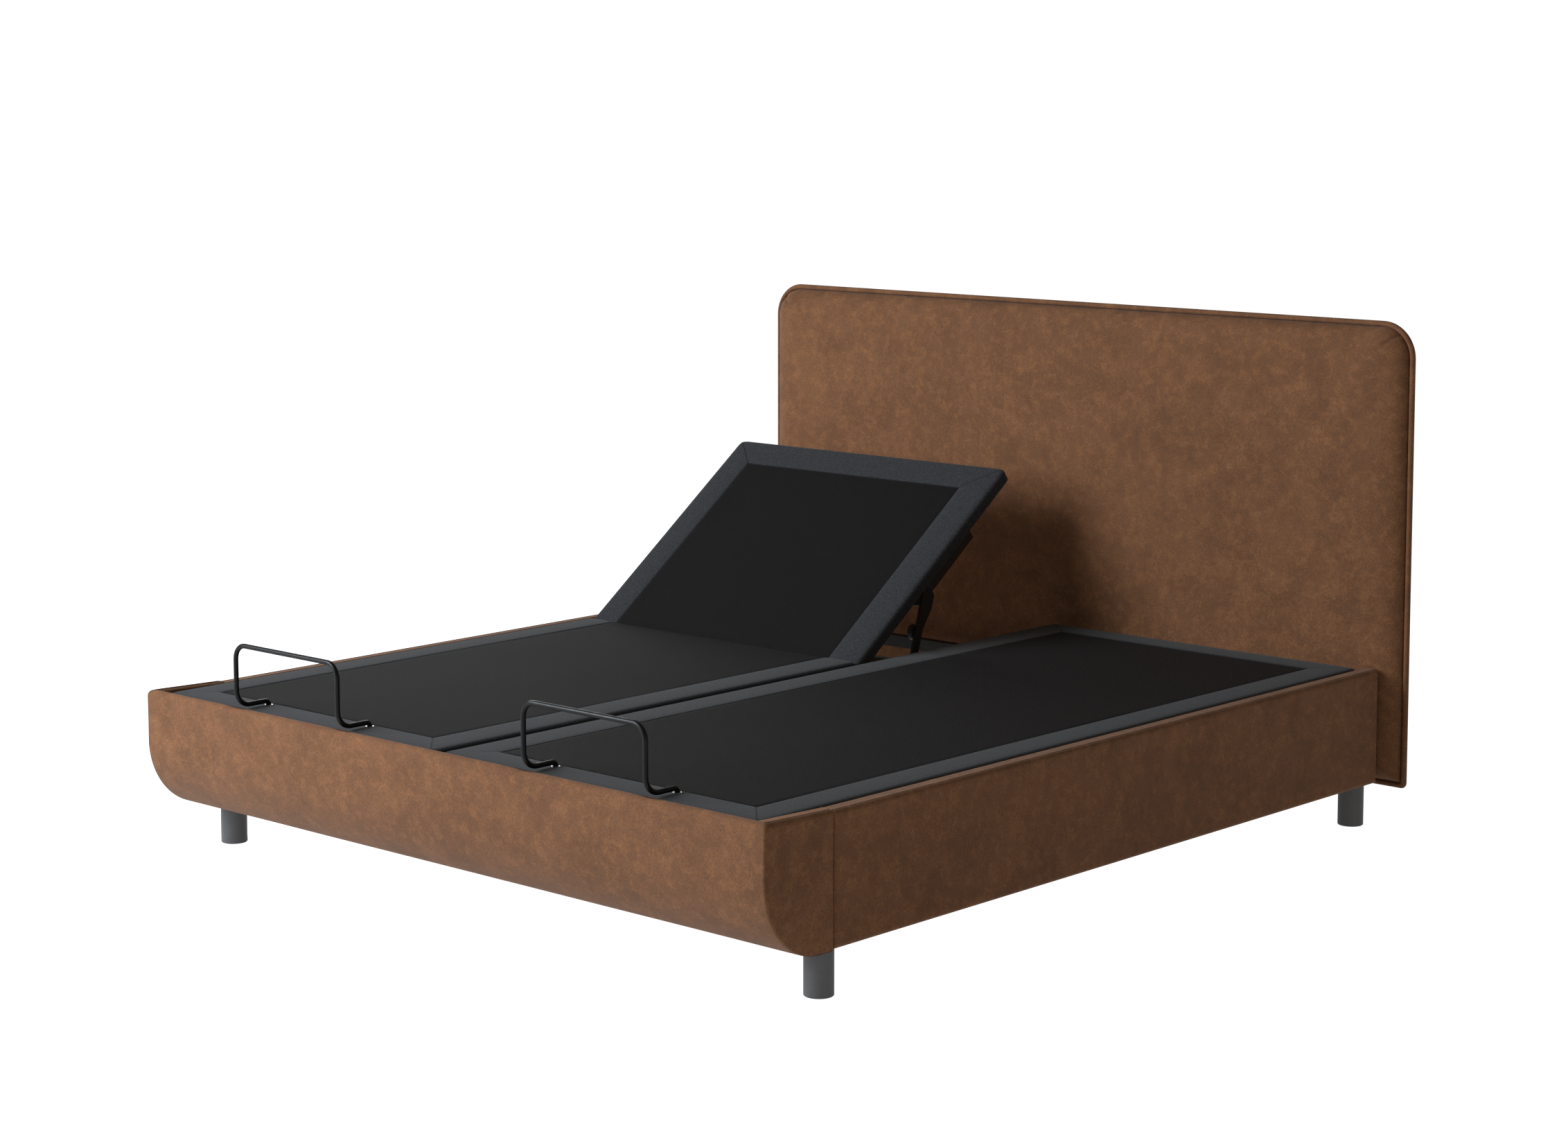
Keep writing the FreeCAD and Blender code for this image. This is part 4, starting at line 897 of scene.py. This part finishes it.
def deck_sewn(sign):
    """One lying surface's whole cover and its flat cloth, with its sides, hem and twill faces."""
    seams_u = [BORDER["inner"] + d for d in (-SEAM_HALF, 0, SEAM_HALF)]
    seams_u += [DECK_WIDE - BORDER["outer"] + d for d in (-SEAM_HALF, 0, SEAM_HALF)]
    seams_v = [BORDER["foot"] + d for d in (-SEAM_HALF, 0, SEAM_HALF)]
    seams_v += [DECK_LONG - BORDER["head"] + d for d in (-SEAM_HALF, 0, SEAM_HALF)]
    seams_v += [cut - DECK_FOOT for cut in CUTS[1:-1]]
    u_lines = lines_between(0, DECK_WIDE, DECK_EDGE, 13 * MM, seams_u)
    v_lines = lines_between(0, DECK_LONG, DECK_EDGE, 9 * MM, seams_v)
    corners = {(a, b): DECK_CORNER for a in (0, 1) for b in (0, 1)}
    u, v, inset = rounded_plan(u_lines, v_lines, corners)
    relief, inside = deck_relief(u, v, 40 + sign)
    u = u + OUTER_FULLNESS * np.clip((u - DECK_WIDE + 60 * MM) / (60 * MM), 0, 1)
    deep = DECK_TOP - DECK_UNDER
    height = deep - round_over(inset, DECK_EDGE) + relief * np.clip(inset / DECK_EDGE, 0, 1)
    twill = inside[:-1, :-1] & inside[1:, 1:]
    look = np.zeros(u.shape, int)
    look[:-1, :-1] = twill
    sewn = Sewn()
    flat = Sewn()
    tops = np.stack([u, v, height], 2)
    loop = outline_of(np.stack([u, v], 2))
    rings = []
    for drop in np.linspace(DECK_EDGE, deep, 5):
        rings.append(np.column_stack([loop, np.full(len(loop), deep - drop)]))
    tucked = step_in(loop, HEM)
    rings.append(np.column_stack([tucked, np.zeros(len(loop))]))
    for grid, ring, look_of in ((tops, False, look), (np.stack(rings), True, 0)):
        places = grid + np.array([DECK_INNER, DECK_FOOT, DECK_UNDER])
        places[..., 0] *= sign
        flip = (sign < 0) != ring
        sewn.sheet(raised(places, sign), look_of, ring, flip)
        flat.sheet(grid, look_of, ring, flip)
    return sewn, flat


def deck_piece(name, sewn, flat, low, high):
    """One stretch of the cover between two lines across it, with each point's place on the flat cloth."""
    flat_points = np.array(flat.points)
    centres = np.array([flat_points[face][:, 1].mean() for face in flat.faces])
    kept = np.nonzero((centres > low - DECK_FOOT) & (centres < high - DECK_FOOT))[0]
    used = sorted({corner for index in kept for corner in sewn.faces[index]})
    renamed = {old: new for new, old in enumerate(used)}
    part = Sewn()
    part.points = [sewn.points[index] for index in used]
    part.faces = [[renamed[corner] for corner in sewn.faces[index]] for index in kept]
    part.looks = [sewn.looks[index] for index in kept]
    item = part.piece(name, [FELT, PANEL_TWILL], joined=False)
    place = item.data.attributes.new("cloth_place", "FLOAT_VECTOR", "POINT")
    place.data.foreach_set("vector", flat_points[used].ravel())
    join_edges(item)
    return item


def make_decks():
    for side, sign in SIDES.items():
        sewn, flat = deck_sewn(sign)
        for (section, (bodies, start, end)), low, high in zip(FOLDS.items(), CUTS[:-1], CUTS[1:]):
            cover = deck_piece(f"{section}_cover_{side}", sewn, flat, low, high)
            names = [body if body == "root" else f"{body}_{side}" for body in bodies]
            ends = raised(np.array([(0, start, DECK_TOP), (0, end, DECK_TOP)], float), sign)
            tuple(ends[0])
            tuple(ends[1])
            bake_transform(cover)
            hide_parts(*[f"{pad}_{side}" for pad in PADS_UNDER[section]])


def make_eyelets():
    """A bright eyelet round each tail of the retainer bars."""
    for side in SIDES:
        low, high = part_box(f"retainer_bar_{side}")
        y = high.y - WIRE_RADIUS
        round_turn = np.linspace(0, math.tau, 33)[:-1]
        sewn = Sewn()
        for x in (low.x + WIRE_RADIUS, high.x - WIRE_RADIUS):
            rings = []
            for turn in np.linspace(0, math.tau, 13):
                radius = WIRE_RADIUS + 2.6 * MM + 1.9 * MM * math.cos(turn)
                z = DECK_TOP + 1.0 * MM + 0.9 * MM * math.sin(turn)
                rings.append(np.stack([x + radius * np.cos(round_turn), y + radius * np.sin(round_turn),
                                       np.full(32, z)], 1))
            sewn.sheet(np.stack(rings), ring=True, flip=True)
        eyelets = sewn.piece(f"bar_eyelets_{side}", [FINISH_OF_SLOT["zinc"]])
        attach(eyelets, f"calf_{side}")


# --- Room, light and camera -----------------------------------------------------------------------------------


def make_floor():
    """A plain pale floor that reads as white and gives the bed's lower parts a soft glow."""
    material, tree, shader = new_finish("Pale floor", Specular_IOR_Level=0.0, Roughness=1.0)
    seen = tree.nodes.new("ShaderNodeLightPath").outputs["Is Camera Ray"]
    grain = effect(tree, GRAIN, Place=object_place(tree), Grain_Size=0.4)
    tree.links.new(mixed(tree, grain["Grain"], (0.5, 0.5, 0.5, 1), (0.52, 0.52, 0.52, 1)),
                   shader.inputs["Base Color"])
    shader.inputs["Emission Color"].default_value = (1, 1, 1, 1)
    tree.links.new(maths(tree, "MULTIPLY_ADD", seen, 0.62, 0.38), shader.inputs["Emission Strength"])
    sewn = Sewn()
    reach = 60.0
    spans = np.linspace(-reach, reach, 5)
    x, y = np.meshgrid(spans, spans, indexing="ij")
    sewn.sheet(np.stack([x, y, np.zeros_like(x)], 2))
    floor = sewn.piece("floor", [material])


def soft_light(name, place, aim, size, power, tint=(1, 1, 1)):
    """A square studio lamp that faces a point."""
    lamp = bpy.data.lights.new(name, "AREA")
    lamp.size = size
    lamp.energy = power
    lamp.color = tint
    item = bpy.data.objects.new(name, lamp)
    item.location = place
    bpy.context.scene.collection.objects.link(item)
    facing = Vector(place) - Vector(aim)
    item.rotation_euler = facing.to_track_quat("Z", "Y").to_euler()


def make_light():
    """A white surround, a large lamp over the foot's left corner and two small ones to lift the dark sides."""
    world = bpy.data.worlds.new("Studio")
    world.use_nodes = True
    tree = world.node_tree
    sky = tree.nodes["Background"]
    seen = tree.nodes.new("ShaderNodeLightPath").outputs["Is Camera Ray"]
    tree.links.new(mixed(tree, seen, (1.0, 0.95, 0.82, 1), (1, 1, 1, 1)), sky.inputs["Color"])
    tree.links.new(maths(tree, "MULTIPLY_ADD", seen, 0.94, 0.14), sky.inputs["Strength"])
    bpy.context.scene.world = world
    soft_light("Key", (-2.6, -4.3, 2.9), aim=(-0.3, -0.2, 0.5), size=3.4, power=385, tint=(0.94, 1.0, 1.06))
    soft_light("Side", (5.5, -0.6, 0.9), aim=(0.9, 0, 0.2), size=2.2, power=11, tint=(1.08, 1.0, 0.88))
    soft_light("Rim", (-4.6, 2.6, 1.9), aim=(-0.5, -0.6, 0.4), size=1.8, power=45)


CAMERA_PLACE = (4.8856, -5.3455, 1.7829)
CAMERA_DOWN, CAMERA_TURN = math.radians(6.324), math.radians(42.452)


def make_camera():
    """Stands off the foot's right corner and looks slightly down."""
    data = bpy.data.cameras.new("Camera")
    data.sensor_width = 36.0
    data.lens = 73.2
    data.shift_y = -0.10
    item = bpy.data.objects.new("Camera", data)
    item.location = CAMERA_PLACE
    item.rotation_euler = (math.pi / 2 - CAMERA_DOWN, 0, CAMERA_TURN)
    bpy.context.scene.collection.objects.link(item)
    bpy.context.scene.camera = item
    bpy.context.scene.view_settings.view_transform = "Standard"


finish_frame()
make_foot_board()
make_side_rails()
make_headboard_pad()
make_headboard_rim()
make_headboard_panel()
make_decks()
make_eyelets()
make_floor()
make_light()
make_camera()
